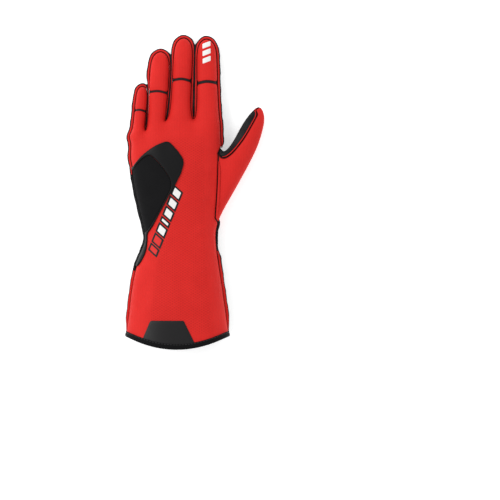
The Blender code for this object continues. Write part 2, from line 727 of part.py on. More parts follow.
def add_panels(glove, folder):
    """Each panel of the glove, one wall thick, drawn back from its seams."""
    points, faces, panels, normals = glove
    touching = {}
    for face, panel in zip(faces, panels):
        for corner in face:
            touching.setdefault(corner, set()).add(panel)
    tips = set(range(LITTLE_TIP, THUMB_BACK))
    for number, (name, look) in enumerate(PANELS):
        own = [face for face, panel in zip(faces, panels) if panel == number]

        def gap_at(here):
            near = touching[here] - {number}
            slit = (number == BACK and near & tips) or (number in tips and BACK in near)
            if slit and PALM not in near:
                return KNUCKLE_SLIT / 2
            return GAP / 2 if near else 0.0

        skin = pulled_in(points, normals, own, gap_at)
        away = normals
        if number == CUFF_PALM:
            skin, away, own = finer_across(skin, normals, own)
            skin = gathered(skin)
        own = halved(skin if number == CUFF_PALM else points, own)
        add_object(name, *walled(skin, away, own, 0.0, -WALL), look, folder)


def add_gussets(glove, folder):
    """The dark strip of cloth inside each finger's slit, under the two red panels."""
    points, faces, panels, normals = glove
    deep = -WALL - GAP
    for number, row in enumerate(FINGERS):
        chain = seam_chains(faces, panels, {BACK}, {LITTLE_TIP + number})[0]
        line = points[chain]
        sections = []
        for point, away in zip(line, normals[chain]):
            along = unit(np.array([0.0, 1.0, 0.0]) - away * away[1]) * GUSSET_WIDTH / 2
            top, bottom = point + away * deep, point + away * (deep - GUSSET_THICKNESS)
            sections.append(np.array([top - along, top + along, bottom + along, bottom - along]))
        add_object("knuckle_gusset_" + row[0], *swept(sections), BLACK_STRETCH, folder)


def add_binding(glove, folder):
    """The tape folded over the hem, inside and out."""
    points, faces, panels, normals = glove
    loop = boundary_loops(boundary_edges(faces))[0]
    outside, inside = GAP + BINDING_THICKNESS, -WALL - GAP - BINDING_THICKNESS
    profile = ((outside, -BINDING_DEPTH), (outside, outside), (inside, outside), (inside, -BINDING_DEPTH),
               (-WALL - GAP, -BINDING_DEPTH), (-WALL - GAP, GAP), (GAP, GAP), (GAP, -BINDING_DEPTH))
    sections = []
    for before, here, after in zip(loop[-1:] + loop[:-1], loop, loop[1:] + loop[:1]):
        along = unit(points[after] - points[before])
        away = unit(normals[here] - along * normals[here].dot(along))
        down = np.cross(along, away)
        sections.append(np.array([points[here] + away * out + down * over for out, over in profile]))
    add_object("hem_binding", *swept(sections, closed=True), BLACK_STRETCH, folder)


def add_inlay(name, outline, low, high, look, glove, upward, edge, folders):
    """A thin piece that lies on the glove: the skin over or under it, cut to an outline seen from above."""
    points, faces, panels, normals = glove
    outline = np.array(outline)
    least, most = outline.min(axis=0) - INLAY_MARGIN, outline.max(axis=0) + INLAY_MARGIN
    side = 1 if upward else -1

    def near(face, panel):
        flat = points[list(face)][:, :2]
        facing = side * sum(normals[c][2] for c in face) / len(face) > 0.3
        allowed = panel == BACK if upward else panel not in (CUFF_PALM,)
        return facing and allowed and (flat.max(axis=0) > least).all() and (flat.min(axis=0) < most).all()

    own = [face for face, panel in zip(faces, panels) if near(face, panel)]
    skin = pulled_in(points, normals, own, lambda here: edge)
    own = halved(points, own)
    folder, cutters = folders
    piece = add_object(name, *walled(skin, normals, own, high, low), look, folder)
    levels = (0.0, PALM_TOP + HEM_TOP) if upward else (-INLAY_MARGIN, PALM_SEAM_Z)
    corners = [(x, y, z) for z in levels for x, y in outline]
    count = len(outline)
    sides = [tuple(range(count))[::-1], tuple(range(count, 2 * count))]
    sides += [(k, (k + 1) % count, (k + 1) % count + count, k + count) for k in range(count)]
    cutter = add_object("cutter_" + name, corners, sides, look, cutters)
    cutter.hide_render = True
    cutter.display_type = "WIRE"
    cut = piece.modifiers.new("cut", "BOOLEAN")
    cut.operation = "INTERSECT"
    cut.solver = "EXACT"
    cut.object = cutter


def hand_place(share):
    """A place on the hand from shares of its width on that side and of the palm's length."""
    across, along = share
    width = PALM_THUMB_SIDE if across > 0 else PALM_LITTLE_SIDE
    return across * width, WRIST_SEAM_Y + along * PALM_LENGTH


def counter_clockwise(outline):
    area = sum(a[0] * b[1] - b[0] * a[1] for a, b in zip(outline, outline[1:] + outline[:1]))
    return outline if area > 0 else outline[::-1]


def inset(outline, gap):
    """An outline drawn in by a gap, each corner along its bisector."""
    made = []
    for before, here, after in zip(outline[-1:] + outline[:-1], outline, outline[1:] + outline[:1]):
        first = unit(np.array(here) - np.array(before))
        second = unit(np.array(after) - np.array(here))
        lean = unit(np.array([-first[1] - second[1], first[0] + second[0]]))
        made.append(tuple(np.array(here) + lean * gap / max(0.4, lean.dot((-first[1], first[0])))))
    return made


def add_back_trim(glove, folders):
    """The neoprene patch, the rubber frame round it and the label at the hem."""
    edge = WELT_THICKNESS / 2 + GAP
    outer = [hand_place(place) for place in FRAME_OUTER]
    inner = [hand_place(place) for place in FRAME_INNER]
    frame = counter_clockwise(outer + inner[::-1])
    add_inlay("patch_frame", frame, GAP, GAP + FRAME_THICKNESS, BLACK_RUBBER, glove, True, edge, folders)
    left = -PALM_LITTLE_SIDE - 4 * WELT_WIDTH
    patch = [(left, inner[0][1])] + inner + [(left, inner[-1][1])]
    patch = inset(counter_clockwise(patch), GAP)
    add_inlay("back_patch", patch, GAP, GAP + PATCH_THICKNESS, BLACK_NEOPRENE, glove, True, edge, folders)
    base = WRIST_SEAM_Y - CUFF_LENGTH + BINDING_DEPTH + 2 * GAP
    label = []
    for across, up, on_hem in LABEL_OUTLINE:
        x = across * (HEM_THUMB_SIDE if across > 0 else HEM_LITTLE_SIDE)
        sag = HEM_DIP * (1 - (2 * (x + HEM_LITTLE_SIDE) / (HEM_LITTLE_SIDE + HEM_THUMB_SIDE) - 1) ** 2)
        label.append((x, base + up * CUFF_LENGTH - (sag if on_hem else 0.0)))
    label = counter_clockwise(label)
    add_inlay("cuff_label", label, GAP, GAP + LABEL_THICKNESS, BLACK_RUBBER, glove, True, edge, folders)


def add_grips(glove, folders):
    """The silicone pads under the palm, the fingers and the thumb."""
    knuckles = knuckle_line()
    for name, outline in PALM_GRIPS:
        places = counter_clockwise([hand_place(place) for place in outline])
        add_inlay(name, places, GAP, GAP + PAD_THICKNESS, GREY_SILICONE, glove, False, 0.0, folders)
    for row in FINGERS:
        root, forward, length = finger_axis(row, knuckles)
        sideways = np.array([forward[1], -forward[0], 0.0])
        for name, outline in FINGER_GRIPS:
            spots = [root + forward * length * a + sideways * row[2] / 2 * s for s, a in outline]
            places = counter_clockwise([tuple(spot[:2]) for spot in spots])
            add_inlay(f"{row[0]}_{name}", places, GAP, GAP + PAD_THICKNESS, GREY_SILICONE, glove, False, 0.0, folders)
    base = thumb_base(hand_ring(SECTIONS[5]), hand_ring(SECTIONS[7]))
    forward = np.array([math.sin(THUMB_SPLAY), math.cos(THUMB_SPLAY), 0.0])
    outwards = np.array([forward[1], -forward[0], 0.0])
    for name, outline in THUMB_GRIPS:
        spots = [base + forward * THUMB_LENGTH * a + outwards * THUMB_WIDTH * s for s, a in outline]
        places = counter_clockwise([tuple(spot[:2]) for spot in spots])
        add_inlay(name, places, GAP, GAP + PAD_THICKNESS, GREY_SILICONE, glove, False, 0.0, folders)


def stand_on_origin(folders):
    """Moves everything so that the glove's box is centred over the origin and rests on the floor."""
    graph = bpy.context.evaluated_depsgraph_get()
    corners = []
    for piece in folders[0].objects:
        mesh = bpy.data.meshes.new_from_object(piece.evaluated_get(graph))
        corners += [v.co.copy() for v in mesh.vertices]
        bpy.data.meshes.remove(mesh)
    spread = np.array(corners)
    least, most = spread.min(axis=0), spread.max(axis=0)
    middle = (least + most) / 2
    shift = Matrix.Translation((-middle[0], -middle[1], -least[2]))
    for folder in folders:
        for piece in folder.objects:
            piece.data.transform(shift)


def main():
    clear_scene()
    folder = bpy.data.collections.new("driving_glove")
    cutters = bpy.data.collections.new("cutters")
    bpy.context.scene.collection.children.link(folder)
    bpy.context.scene.collection.children.link(cutters)
    glove = smooth_glove(glove_cage())
    add_panels(glove, folder)
    add_gussets(glove, folder)
    add_binding(glove, folder)
    add_welts(glove, folder)
    add_back_trim(glove, (folder, cutters))
    add_grips(glove, (folder, cutters))
    stand_on_origin((folder, cutters))


main()
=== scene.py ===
"""A gauntlet driving glove for the left hand, lying palm down: the looks of its cloth, suede, rubber and silicone.

The glove's form is worked out once, as a smooth surface, and each panel, seam, patch and pad is made on it.
Shapes are in millimetres from the wrist, and put_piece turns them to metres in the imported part's frame.
"""

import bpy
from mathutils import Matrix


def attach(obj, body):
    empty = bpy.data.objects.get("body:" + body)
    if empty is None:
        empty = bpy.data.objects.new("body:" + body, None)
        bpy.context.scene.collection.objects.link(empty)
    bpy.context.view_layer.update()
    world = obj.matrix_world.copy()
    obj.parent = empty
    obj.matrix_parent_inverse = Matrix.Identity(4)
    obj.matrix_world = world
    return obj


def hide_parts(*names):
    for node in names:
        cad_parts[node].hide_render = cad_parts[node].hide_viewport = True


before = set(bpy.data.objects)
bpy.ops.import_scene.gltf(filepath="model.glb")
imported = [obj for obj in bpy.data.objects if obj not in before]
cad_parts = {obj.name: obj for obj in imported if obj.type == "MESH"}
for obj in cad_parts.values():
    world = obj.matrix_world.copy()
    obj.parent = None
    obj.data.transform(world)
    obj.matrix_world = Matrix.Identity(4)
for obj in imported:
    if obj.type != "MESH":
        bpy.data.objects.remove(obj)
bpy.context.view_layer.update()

import math

import bpy
import numpy as np
from mathutils import Vector
from mathutils.bvhtree import BVHTree
from mathutils.geometry import delaunay_2d_cdt


# The glove's form. The real glove is cut flat, sewn inside out and turned, and it stands full as if a hand were
# in it. One coarse cage of quads follows it from the hem to the tips, and subdivision makes it smooth.

# Widths, from the hand's axis out to the seam on each side.
WRIST_LITTLE_SIDE = 27.5
WRIST_THUMB_SIDE = 40.0
HEM_LITTLE_SIDE = 49.0
HEM_THUMB_SIDE = 53.5
PALM_LITTLE_SIDE = 43.5
PALM_THUMB_SIDE = 45.0

# Lengths, from the seam where the suede palm meets the cuff.
CUFF_LENGTH = 112.0
PALM_LENGTH = 100.0
WRIST_SEAM_Y = 8.0
HEM_DIP = 13.0

# Heights of the back of the glove, of the side seams and of the palm above the floor.
HEM_TOP = 52.0
WRIST_TOP = 34.0
PALM_TOP = 35.0
KNUCKLE_TOP = 30.0
HEM_SEAM_Z = 24.0
WRIST_SEAM_Z = 18.0
PALM_SEAM_Z = 15.0
WRIST_LIFT = 4.0

# Fingers, each from its crotch to its tip.
LITTLE_LENGTH = 47.0
RING_LENGTH = 76.0
MIDDLE_LENGTH = 84.0
INDEX_LENGTH = 84.0
LITTLE_WIDTH = 11.2
RING_WIDTH = 18.8
MIDDLE_WIDTH = 18.5
INDEX_WIDTH = 19.5
FINGER_DEPTH = 17.5
FINGER_ARCH = 2.5
KNUCKLE_CREASE = 0.8

# Between two fingers the knuckle line drops to this share of its height, and the palm rises this many creases.
VALLEY_SHARE = 0.80
VALLEY_CREASES = 2.0

# How far a slit's middle is drawn towards the fingertip, as a share of the finger's length.
SLIT_ARCH = 0.035

# Thumb, from the middle of its base.
THUMB_LENGTH = 91.5
THUMB_WIDTH = 24.0
THUMB_DEPTH = 24.0
THUMB_SPLAY = math.radians(27.0)
THUMB_ROLL = math.radians(28.0)

# How high the smooth palm and hem stand, on the pads and on the tape.
PALM_REST_Z = 0.9
HEM_REST_Z = 1.3

# A ring of the hand has 20 points: the little finger's side seam, nine over the back from there to the
# thumb side, the thumb's side seam, and nine under the palm on the way back.
BACK_POINTS = 9
RING_POINTS = 2 * BACK_POINTS + 2
THUMB_SEAM = BACK_POINTS + 1

# The back's section is a superellipse of this power, and the cage stands this much higher than the smooth back.
CROWN_POWER = 2.6
CAGE_RISE = 1.03

# The side seams stand out by this share of the width. Beside them the palm drops to this share of its depth. The
# hem dips over this share of the cuff's length.
SEAM_BULGE = 0.014
SIDE_DROP = 0.86
DIP_SHARE = 0.45

# Where the back's nine points stand across the knuckles and across the cuff, as shares of the width.
KNUCKLE_ACROSS = (0.025, 0.070, 0.165, 0.275, 0.385, 0.545, 0.70, 0.862, 0.985)
EVEN_ACROSS = (0.03, 0.14, 0.26, 0.38, 0.50, 0.62, 0.74, 0.86, 0.98)

# The hand's sections. "along" is a share of the cuff's or the palm's length. The other columns are shares of
# the way from the wrist's size to the hem's or the palm's, and "knuckle" blends the two spacings above.
SECTIONS = (
    # zone, along, little side, thumb side, top, seam, lift, knuckle
    ("cuff", 1.00, 1.00, 1.00, 1.00, 1.00, 0.0, 0.0),
    ("cuff", 0.80, 0.86, 0.76, 0.84, 0.85, 0.0, 0.0),
    ("cuff", 0.57, 0.73, 0.50, 0.55, 0.60, 0.0, 0.0),
    ("cuff", 0.34, 0.50, 0.19, 0.22, 0.30, 0.5, 0.0),
    ("cuff", 0.16, -0.06, 0.00, 0.00, 0.05, 1.0, 0.1),
    ("palm", 0.00, 0.26, 0.06, 0.00, 0.00, 0.0, 0.2),
    ("palm", 0.37, 0.82, 0.90, 1.00, 0.60, 0.0, 0.4),
    ("palm", 0.70, 1.07, 1.06, 1.00, 1.00, 0.0, 0.8),
)

# Where the knuckle line crosses each point of the back, as shares of the palm's length.
KNUCKLE_ALONG = (0.90, 0.905, 0.91, 0.96, 1.015, 1.03, 1.025, 1.01, 0.99)

# Each finger's length and width, the point of the back at its root, and its lean towards the thumb. Its
# slit is a share of its length, its heights at root and tip are shares of the finger's depth, and the width
# of its root is a share of its own width.
FINGERS = (
    # name, length, width, first point, lean in degrees, slit, root height, tip height, root width
    ("little", LITTLE_LENGTH, LITTLE_WIDTH, 0, 6.0, 0.50, 0.70, 0.54, 0.96),
    ("ring", RING_LENGTH, RING_WIDTH, 2, 3.6, 0.48, 0.82, 0.56, 0.82),
    ("middle", MIDDLE_LENGTH, MIDDLE_WIDTH, 4, 2.7, 0.52, 0.84, 0.60, 1.02),
    ("index", INDEX_LENGTH, INDEX_WIDTH, 6, -1.0, 0.50, 0.84, 0.60, 1.11),
)

# The finger's rings between the knuckle line and the tip. "along" is a share of the way from the root to
# the slit, or from the slit to the tip. Width and depth are shares of the finger's own.
FINGER_RINGS = (
    # part, along, width, depth
    ("root", 0.17, 1.00, 1.02),
    ("root", 1.00, 1.00, 1.00),
    ("tip", 0.50, 1.02, 0.98),
    ("tip", 0.89, 0.90, 0.80),
)

# The thumb's rings, each by its outer and inner point: along the thumb as a share of its length, sideways
# as a share of its width. Depth and height are shares of the thumb's depth, roll is a share of its roll.
THUMB_RINGS = (
    # outer along, outer side, inner along, inner side, depth, height, roll
    (0.00, 0.60, 0.40, -0.43, 1.02, 0.56, 0.1),
    (0.29, 0.64, 0.50, -0.35, 0.98, 0.55, 0.4),
    (0.56, 0.65, 0.64, -0.33, 0.86, 0.52, 0.8),
    (0.76, 0.53, 0.79, -0.31, 0.74, 0.50, 1.0),
    (0.93, 0.36, 0.94, -0.20, 0.50, 0.50, 1.0),
)
THUMB_TIP_HEIGHT = 0.52

# A smooth ring with eight points shrinks by this share when it is subdivided, so its cage stands outside.
EIGHT_POINT_CAGE = 1.0 / 0.9024
CORNER_FULLNESS = 0.78

# A smooth tip is a mean of its cage point and the last ring's centre, with this weight on the cage point.
TIP_WEIGHT = 0.444

# The numbers of the panels that the cage's faces belong to.
BACK, LITTLE_TIP, THUMB_BACK, PALM, THUMB_PALM, CUFF_PALM = 0, 1, 5, 6, 7, 8
PANEL_COUNT = 9


def crown(across):
    """Height of the back over the seam at a share across the hand, on a superellipse: 0 at the seams, 1 between."""
    return (1 - abs(2 * across - 1) ** CROWN_POWER) ** (1 / CROWN_POWER)


def between(start, end, share):
    """The value a share of the way from a start to an end."""
    return start + (end - start) * share


def hand_ring(row):
    """The 20 cage points of one section of the cuff or the hand."""
    zone, along, little, thumb, top, seam, lift, knuckle = row
    cuff = zone == "cuff"
    y = WRIST_SEAM_Y + (-CUFF_LENGTH if cuff else PALM_LENGTH) * along
    left = -between(WRIST_LITTLE_SIDE, HEM_LITTLE_SIDE if cuff else PALM_LITTLE_SIDE, little)
    right = between(WRIST_THUMB_SIDE, HEM_THUMB_SIDE if cuff else PALM_THUMB_SIDE, thumb)
    top_z = between(WRIST_TOP, HEM_TOP if cuff else PALM_TOP, top)
    seam_z = between(WRIST_SEAM_Z, HEM_SEAM_Z if cuff else PALM_SEAM_Z, seam)
    rest_z = (HEM_REST_Z if cuff else PALM_REST_Z) + WRIST_LIFT * lift
    dip = HEM_DIP * max(0.0, 1 - (1 - along) / DIP_SHARE) if cuff else 0.0
    ring = np.zeros((RING_POINTS, 3))
    bulge = SEAM_BULGE * (right - left)
    ring[0] = (left - bulge, y, seam_z)
    ring[THUMB_SEAM] = (right + bulge, y, seam_z)
    for k in range(BACK_POINTS):
        across = between(EVEN_ACROSS[k], KNUCKLE_ACROSS[k], knuckle)
        x = between(left, right, across)
        sag = dip * (1 - (2 * across - 1) ** 2)
        floor_share = SIDE_DROP if k in (0, BACK_POINTS - 1) else 1.0
        ring[1 + k] = (x, y - sag, seam_z + (top_z - seam_z) * CAGE_RISE * crown(across))
        ring[RING_POINTS - 1 - k] = (x, y - sag, seam_z - (seam_z - rest_z) * floor_share)
    return ring


def finger_axis(row, knuckles):
    """The root, direction and length of a finger, from the knuckle line's points at its two sides."""
    root = (knuckles[1 + row[3]] + knuckles[3 + row[3]]) / 2
    root[0] = knuckles[2 + row[3]][0]
    lean = math.radians(row[4])
    return root, np.array([math.sin(lean), math.cos(lean), 0.0]), row[1]


def finger_height(row, share):
    """Height of the finger's middle above the floor: down from root to tip, over the finger's arch."""
    height = between(row[6], row[7], share) * FINGER_DEPTH
    return PALM_REST_Z + height + FINGER_ARCH * 4 * share * (1 - share)


def eight_ring(centre, sideways, half_width, half_depth, roll=0.0):
    """Eight cage points round a centre, from the little finger's side over the back."""
    ring = np.zeros((8, 3))
    corner = CORNER_FULLNESS
    places = ((-1, 0), (-corner, corner), (0, 1), (corner, corner),
              (1, 0), (corner, -corner), (0, -1), (-corner, -corner))
    for k, (across, up) in enumerate(places):
        wide = across * math.cos(roll) + up * math.sin(roll)
        high = up * math.cos(roll) - across * math.sin(roll)
        ring[k] = centre + sideways * wide * half_width * EIGHT_POINT_CAGE
        ring[k][2] += high * half_depth * EIGHT_POINT_CAGE
    return ring


def tip_point(last_centre, limit_point):
    """The cage point past a tip that brings the smooth tip to its limit point."""
    return (limit_point - (1 - TIP_WEIGHT) * last_centre) / TIP_WEIGHT


def finger_rings(row, knuckles):
    """The finger's rings of eight, and its tip point."""
    root, forward, length = finger_axis(row, knuckles)
    sideways = np.array([forward[1], -forward[0], 0.0])
    slit = row[5]
    rings = []
    for part, along, width, depth in FINGER_RINGS:
        share = slit * along if part == "root" else between(slit, 1.0, along)
        centre = root + forward * length * share
        centre[2] = finger_height(row, share)
        width *= between(row[8], 1.0, along) if part == "root" else 1.0
        rings.append(eight_ring(centre, sideways, row[2] / 2 * width, FINGER_DEPTH / 2 * depth))
        if part == "root" and along == 1.0:
            rings[-1][2] += forward * SLIT_ARCH * length
    limit = root + forward * length
    limit[2] = finger_height(row, 1.0)
    return rings, tip_point(rings[-1].mean(axis=0), limit)


def thumb_rings(base):
    """The thumb's rings of eight and its tip point, from the middle of its base."""
    forward = np.array([math.sin(THUMB_SPLAY), math.cos(THUMB_SPLAY), 0.0])
    outwards = np.array([forward[1], -forward[0], 0.0])
    rings = []
    for outer_along, outer_side, inner_along, inner_side, depth, height, roll in THUMB_RINGS:
        outer = base + forward * THUMB_LENGTH * outer_along + outwards * THUMB_WIDTH * outer_side
        inner = base + forward * THUMB_LENGTH * inner_along + outwards * THUMB_WIDTH * inner_side
        centre = (outer + inner) / 2
        centre[2] = PALM_REST_Z + height * THUMB_DEPTH
        span = outer - inner
        span[2] = 0.0
        half_width = np.linalg.norm(span) / 2
        ring = eight_ring(centre, span / (2 * half_width), half_width, THUMB_DEPTH / 2 * depth, THUMB_ROLL * roll)
        rings.append(ring)
    limit = base + forward * THUMB_LENGTH
    limit[2] = PALM_REST_Z + THUMB_TIP_HEIGHT * THUMB_DEPTH
    return rings, tip_point(rings[-1].mean(axis=0), limit)


class Cage:
    """The glove's cage: points, quads and the panel that each quad belongs to."""

    def __init__(self):
        """Starts with nothing in it."""
        self.points = []
        self.faces = []
        self.panels = []

    def add(self, points):
        """Adds points and returns their numbers."""
        first = len(self.points)
        self.points.extend(np.array(p, float) for p in points)
        return list(range(first, len(self.points)))

    def face(self, corners, panel):
        """Adds one face of a panel."""
        self.faces.append(tuple(corners))
        self.panels.append(panel)

    def tube(self, lower, upper, panel_of, split=None):
        """A band of quads between two rings. One of them can be split between its neighbours' panels."""
        count = len(lower)
        for k in range(count):
            after = (k + 1) % count
            if k == split:
                self.face((lower[k], lower[after], upper[k]), panel_of(k - 1))
                self.face((lower[after], upper[after], upper[k]), panel_of(k))
                continue
            self.face((lower[k], lower[after], upper[after], upper[k]), panel_of(k))

    def cap(self, ring, tip, panel_of):
        """Four quads that close a ring of eight at its tip."""
        for k in range(0, 8, 2):
            self.face((ring[k], ring[k + 1], ring[(k + 2) % 8], tip), panel_of(k))


def hand_panel(zone, k):
    """The panel of the k-th face round the hand: over the back, or under the palm or cuff."""
    if k <= BACK_POINTS:
        return BACK
    return CUFF_PALM if zone == "cuff" else PALM


def finger_panel(number, beyond_slit):
    """For a finger's rings, the panel of the k-th face: over the back first, then under the palm."""
    def panel_of(k):
        if k >= 4:
            return PALM
        return LITTLE_TIP + number if beyond_slit else BACK
    return panel_of


def thumb_panel(k):
    """The thumb's ring starts at its inner side: red over the top and the outside, suede beneath."""
    return THUMB_BACK if 1 <= k <= 4 else THUMB_PALM


def glove_cage():
    """The whole glove's cage, hem open, fingers and thumb closed."""
    cage = Cage()
    rings = [hand_ring(row) for row in SECTIONS]
    shapes = [cage.add(ring) for ring in rings]
    for row, lower, upper in zip(SECTIONS, shapes[:-1], shapes[1:]):
        zone = row[0]
        for k in range(RING_POINTS):
            if zone == "palm" and k in (THUMB_SEAM - 1, THUMB_SEAM):
                continue
            after = (k + 1) % RING_POINTS
            if lower is shapes[5] and k == THUMB_SEAM + 1:
                cage.face((lower[k], lower[after], upper[k]), THUMB_BACK)
                cage.face((lower[after], upper[after], upper[k]), PALM)
                continue
            cage.face((lower[k], lower[after], upper[after], upper[k]), hand_panel(zone, k))
    add_fingers(cage, shapes[-1])
    add_thumb(cage, shapes[5], shapes[6], shapes[7])
    return cage


def knuckle_line():
    """The ring of points where the fingers begin, drawn down between them."""
    top = SECTIONS[-1]
    knuckle = hand_ring(top[:1] + (1.0, 1.0, 1.0) + top[4:7] + (1.0,))
    for k, along in enumerate(KNUCKLE_ALONG):
        back, under = 1 + k, RING_POINTS - 1 - k
        knuckle[back][1] = knuckle[under][1] = WRIST_SEAM_Y + PALM_LENGTH * along
        valley = k % 2 == 0
        seam = PALM_SEAM_Z
        knuckle[back][2] = seam + (KNUCKLE_TOP - seam) * (VALLEY_SHARE if valley else 1.0)
        knuckle[under][2] = PALM_REST_Z + KNUCKLE_CREASE * (VALLEY_CREASES if valley else 1.0)
    knuckle[0][1] = knuckle[1][1]
    knuckle[THUMB_SEAM][1] = knuckle[BACK_POINTS][1]
    return knuckle


def add_fingers(cage, last):
    """The four fingers beyond the knuckle line and the crotches between them."""
    knuckle = knuckle_line()
    line = cage.add(knuckle)
    for k in range(RING_POINTS):
        after = (k + 1) % RING_POINTS
        cage.face((last[k], last[after], line[after], line[k]), hand_panel("palm", k))
    crotches = [line[0]]
    for row in FINGERS[1:]:
        valley = (knuckle[1 + row[3]] + knuckle[RING_POINTS - 1 - row[3]]) / 2
        crotches += cage.add([valley])
    crotches.append(line[THUMB_SEAM])
    for number, row in enumerate(FINGERS):
        first = row[3]
        rings, tip = finger_rings(row, knuckle)
        back = [line[1 + first + k] for k in range(3)]
        under = [line[RING_POINTS - 1 - first - k] for k in (2, 1, 0)]
        ring = [crotches[number], *back, crotches[number + 1], *under]
        for depth, points in enumerate(rings):
            above = cage.add(points)
            cage.tube(ring, above, finger_panel(number, depth >= 2))
            ring = above
        cage.cap(ring, cage.add([tip])[0], finger_panel(number, True))


def thumb_base(wrist_ring, web_ring):
    """The middle of the thumb's base, between the hand's side at the wrist and at the web."""
    return (wrist_ring[THUMB_SEAM] + web_ring[THUMB_SEAM]) / 2


def add_thumb(cage, wrist, middle, web):
    """The thumb, grown from the gap in the hand's side between the wrist and the web."""
    seam, back, under = THUMB_SEAM, THUMB_SEAM - 1, THUMB_SEAM + 1
    ring = [web[seam], web[back], middle[back], wrist[back], wrist[seam], wrist[under], middle[under], web[under]]
    base = thumb_base(hand_ring(SECTIONS[5]), hand_ring(SECTIONS[7]))
    rings, tip = thumb_rings(base)
    for depth, points in enumerate(rings):
        above = cage.add(points)
        cage.tube(ring, above, thumb_panel, split=5 if depth == 0 else None)
        ring = above
    cage.cap(ring, cage.add([tip])[0], lambda k: THUMB_BACK if k in (0, 2) else THUMB_PALM)


def smooth_form(cage, levels):
    """The cage after Catmull-Clark subdivision: points, quads, panel numbers and outward directions as arrays."""
    mesh = bpy.data.meshes.new("glove_cage")
    mesh.from_pydata([tuple(p) for p in cage.points], [], cage.faces)
    for _ in range(PANEL_COUNT):
        mesh.materials.append(None)
    mesh.polygons.foreach_set("material_index", cage.panels)
    guide = bpy.data.objects.new("glove_cage", mesh)
    bpy.context.scene.collection.objects.link(guide)
    smooth = guide.modifiers.new("smooth", "SUBSURF")
    smooth.levels = smooth.render_levels = levels
    bpy.context.view_layer.update()
    result = bpy.data.meshes.new_from_object(guide.evaluated_get(bpy.context.evaluated_depsgraph_get()))
    bpy.data.objects.remove(guide)
    points, normals = np.empty(3 * len(result.vertices)), np.empty(3 * len(result.vertices))
    quads, panels = np.empty(4 * len(result.polygons), int), np.empty(len(result.polygons), int)
    result.vertices.foreach_get("co", points)
    result.vertices.foreach_get("normal", normals)
    result.loops.foreach_get("vertex_index", quads)
    result.polygons.foreach_get("material_index", panels)
    bpy.data.meshes.remove(result)
    return points.reshape(-1, 3), quads.reshape(-1, 4), panels, normals.reshape(-1, 3)


def units(vectors):
    """Each vector over its own length."""
    return vectors / np.linalg.norm(vectors, axis=-1, keepdims=True)


def directed_edges(quads):
    """Every quad's four edges in its own sense, one after another."""
    return np.stack([quads, np.roll(quads, -1, axis=1)], axis=2).reshape(-1, 2)


def distance_to_lines(points, starts, ends, batch=1000):
    """Each point's distance to the nearest of some straight stretches, square to each or to its end."""
    nearest = np.empty(len(points))
    along = ends - starts
    length = (along ** 2).sum(axis=1)
    for first in range(0, len(points), batch):
        spot = points[first:first + batch, None, :]
        share = np.clip(((spot - starts) * along).sum(axis=2) / length, 0, 1)
        gaps = np.linalg.norm(spot - starts - share[..., None] * along, axis=2)
        nearest[first:first + batch] = gaps.min(axis=1)
    return nearest


def seam_stretches(quads, panels, count):
    """The edges whose two quads belong to different panels."""
    edges = directed_edges(quads)
    owner = np.repeat(panels, 4)
    key = edges.min(axis=1) * count + edges.max(axis=1)
    order = np.argsort(key, kind="stable")
    paired = key[order][1:] == key[order][:-1]
    first, second = order[:-1][paired], order[1:][paired]
    return edges[first[owner[first] != owner[second]]]


# Folds in the cloth: where each starts and ends, how deep it is and how wide. "side" is +1 on the back.
CREASES = (
    # side, start x, start y, end x, end y, depth, width
    (1, 41.0, 40.0, 30.0, 25.0, 0.7, 4.5),
    (1, 44.0, 62.0, 33.0, 54.0, 0.8, 5.0),
    (1, 38.0, 12.0, 16.0, 5.0, 0.6, 4.0),
    (1, 37.0, -2.0, 18.0, -9.0, 0.6, 4.5),
    (1, -25.0, 2.0, -8.0, -4.0, 0.5, 4.0),
    (1, 32.0, 112.0, 44.0, 109.0, 0.5, 3.0),
    (1, 9.0, 113.0, 22.0, 111.0, 0.5, 3.0),
    (1, -12.0, 103.0, -2.0, 106.0, 0.5, 3.0),
    (1, -36.0, 96.0, -28.0, 99.0, 0.5, 3.0),
    (1, 30.0, 131.0, 43.0, 130.0, 0.35, 2.5),
    (1, 8.0, 133.0, 22.0, 132.0, 0.35, 2.5),
    (1, 33.0, 166.0, 42.0, 165.0, 0.3, 2.5),
    (1, 12.0, 170.0, 24.0, 169.0, 0.3, 2.5),
    (1, -12.0, 152.0, -2.0, 152.0, 0.3, 2.5),
    (1, 52.0, 82.0, 66.0, 76.0, 0.7, 4.0),
    (1, 60.0, 96.0, 72.0, 90.0, 0.5, 3.5),
    (1, 22.0, -45.0, 34.0, -70.0, 0.8, 8.0),
    (1, -26.0, -50.0, -32.0, -78.0, 0.8, 8.0),
    (-1, -34.0, 78.0, -22.0, 84.0, 0.5, 3.0),
    (-1, -14.0, 86.0, 2.0, 88.0, 0.5, 3.0),
    (-1, 8.0, 96.0, 24.0, 98.0, 0.5, 3.0),
    (-1, 30.0, 100.0, 44.0, 97.0, 0.5, 3.0),
    (-1, 12.0, 62.0, -2.0, 30.0, 0.8, 5.0),
    (-1, 40.0, 60.0, 22.0, 46.0, 0.6, 4.0),
    (-1, -28.0, 20.0, -8.0, 14.0, 0.6, 5.0),
)


def creased(points, normals):
    """How far each point sinks or swells: every crease is a groove between two low swells, gone at its ends."""
    depth = np.zeros(len(points))
    for side, x0, y0, x1, y1, deep, wide in CREASES:
        start, along = np.array((x0, y0)), np.array((x1 - x0, y1 - y0))
        share = ((points[:, :2] - start) @ along) / (along @ along)
        away = np.linalg.norm(points[:, :2] - start - np.clip(share, 0, 1)[:, None] * along, axis=1) / wide
        middle = np.clip(1 - (2 * share - 1) ** 2 * 0.8, 0, 1)
        facing = np.clip(side * normals[:, 2] * 3, 0, 1)
        depth -= deep * facing * middle * (1 - 1.2 * away ** 2) * np.exp(-away ** 2)
    return depth


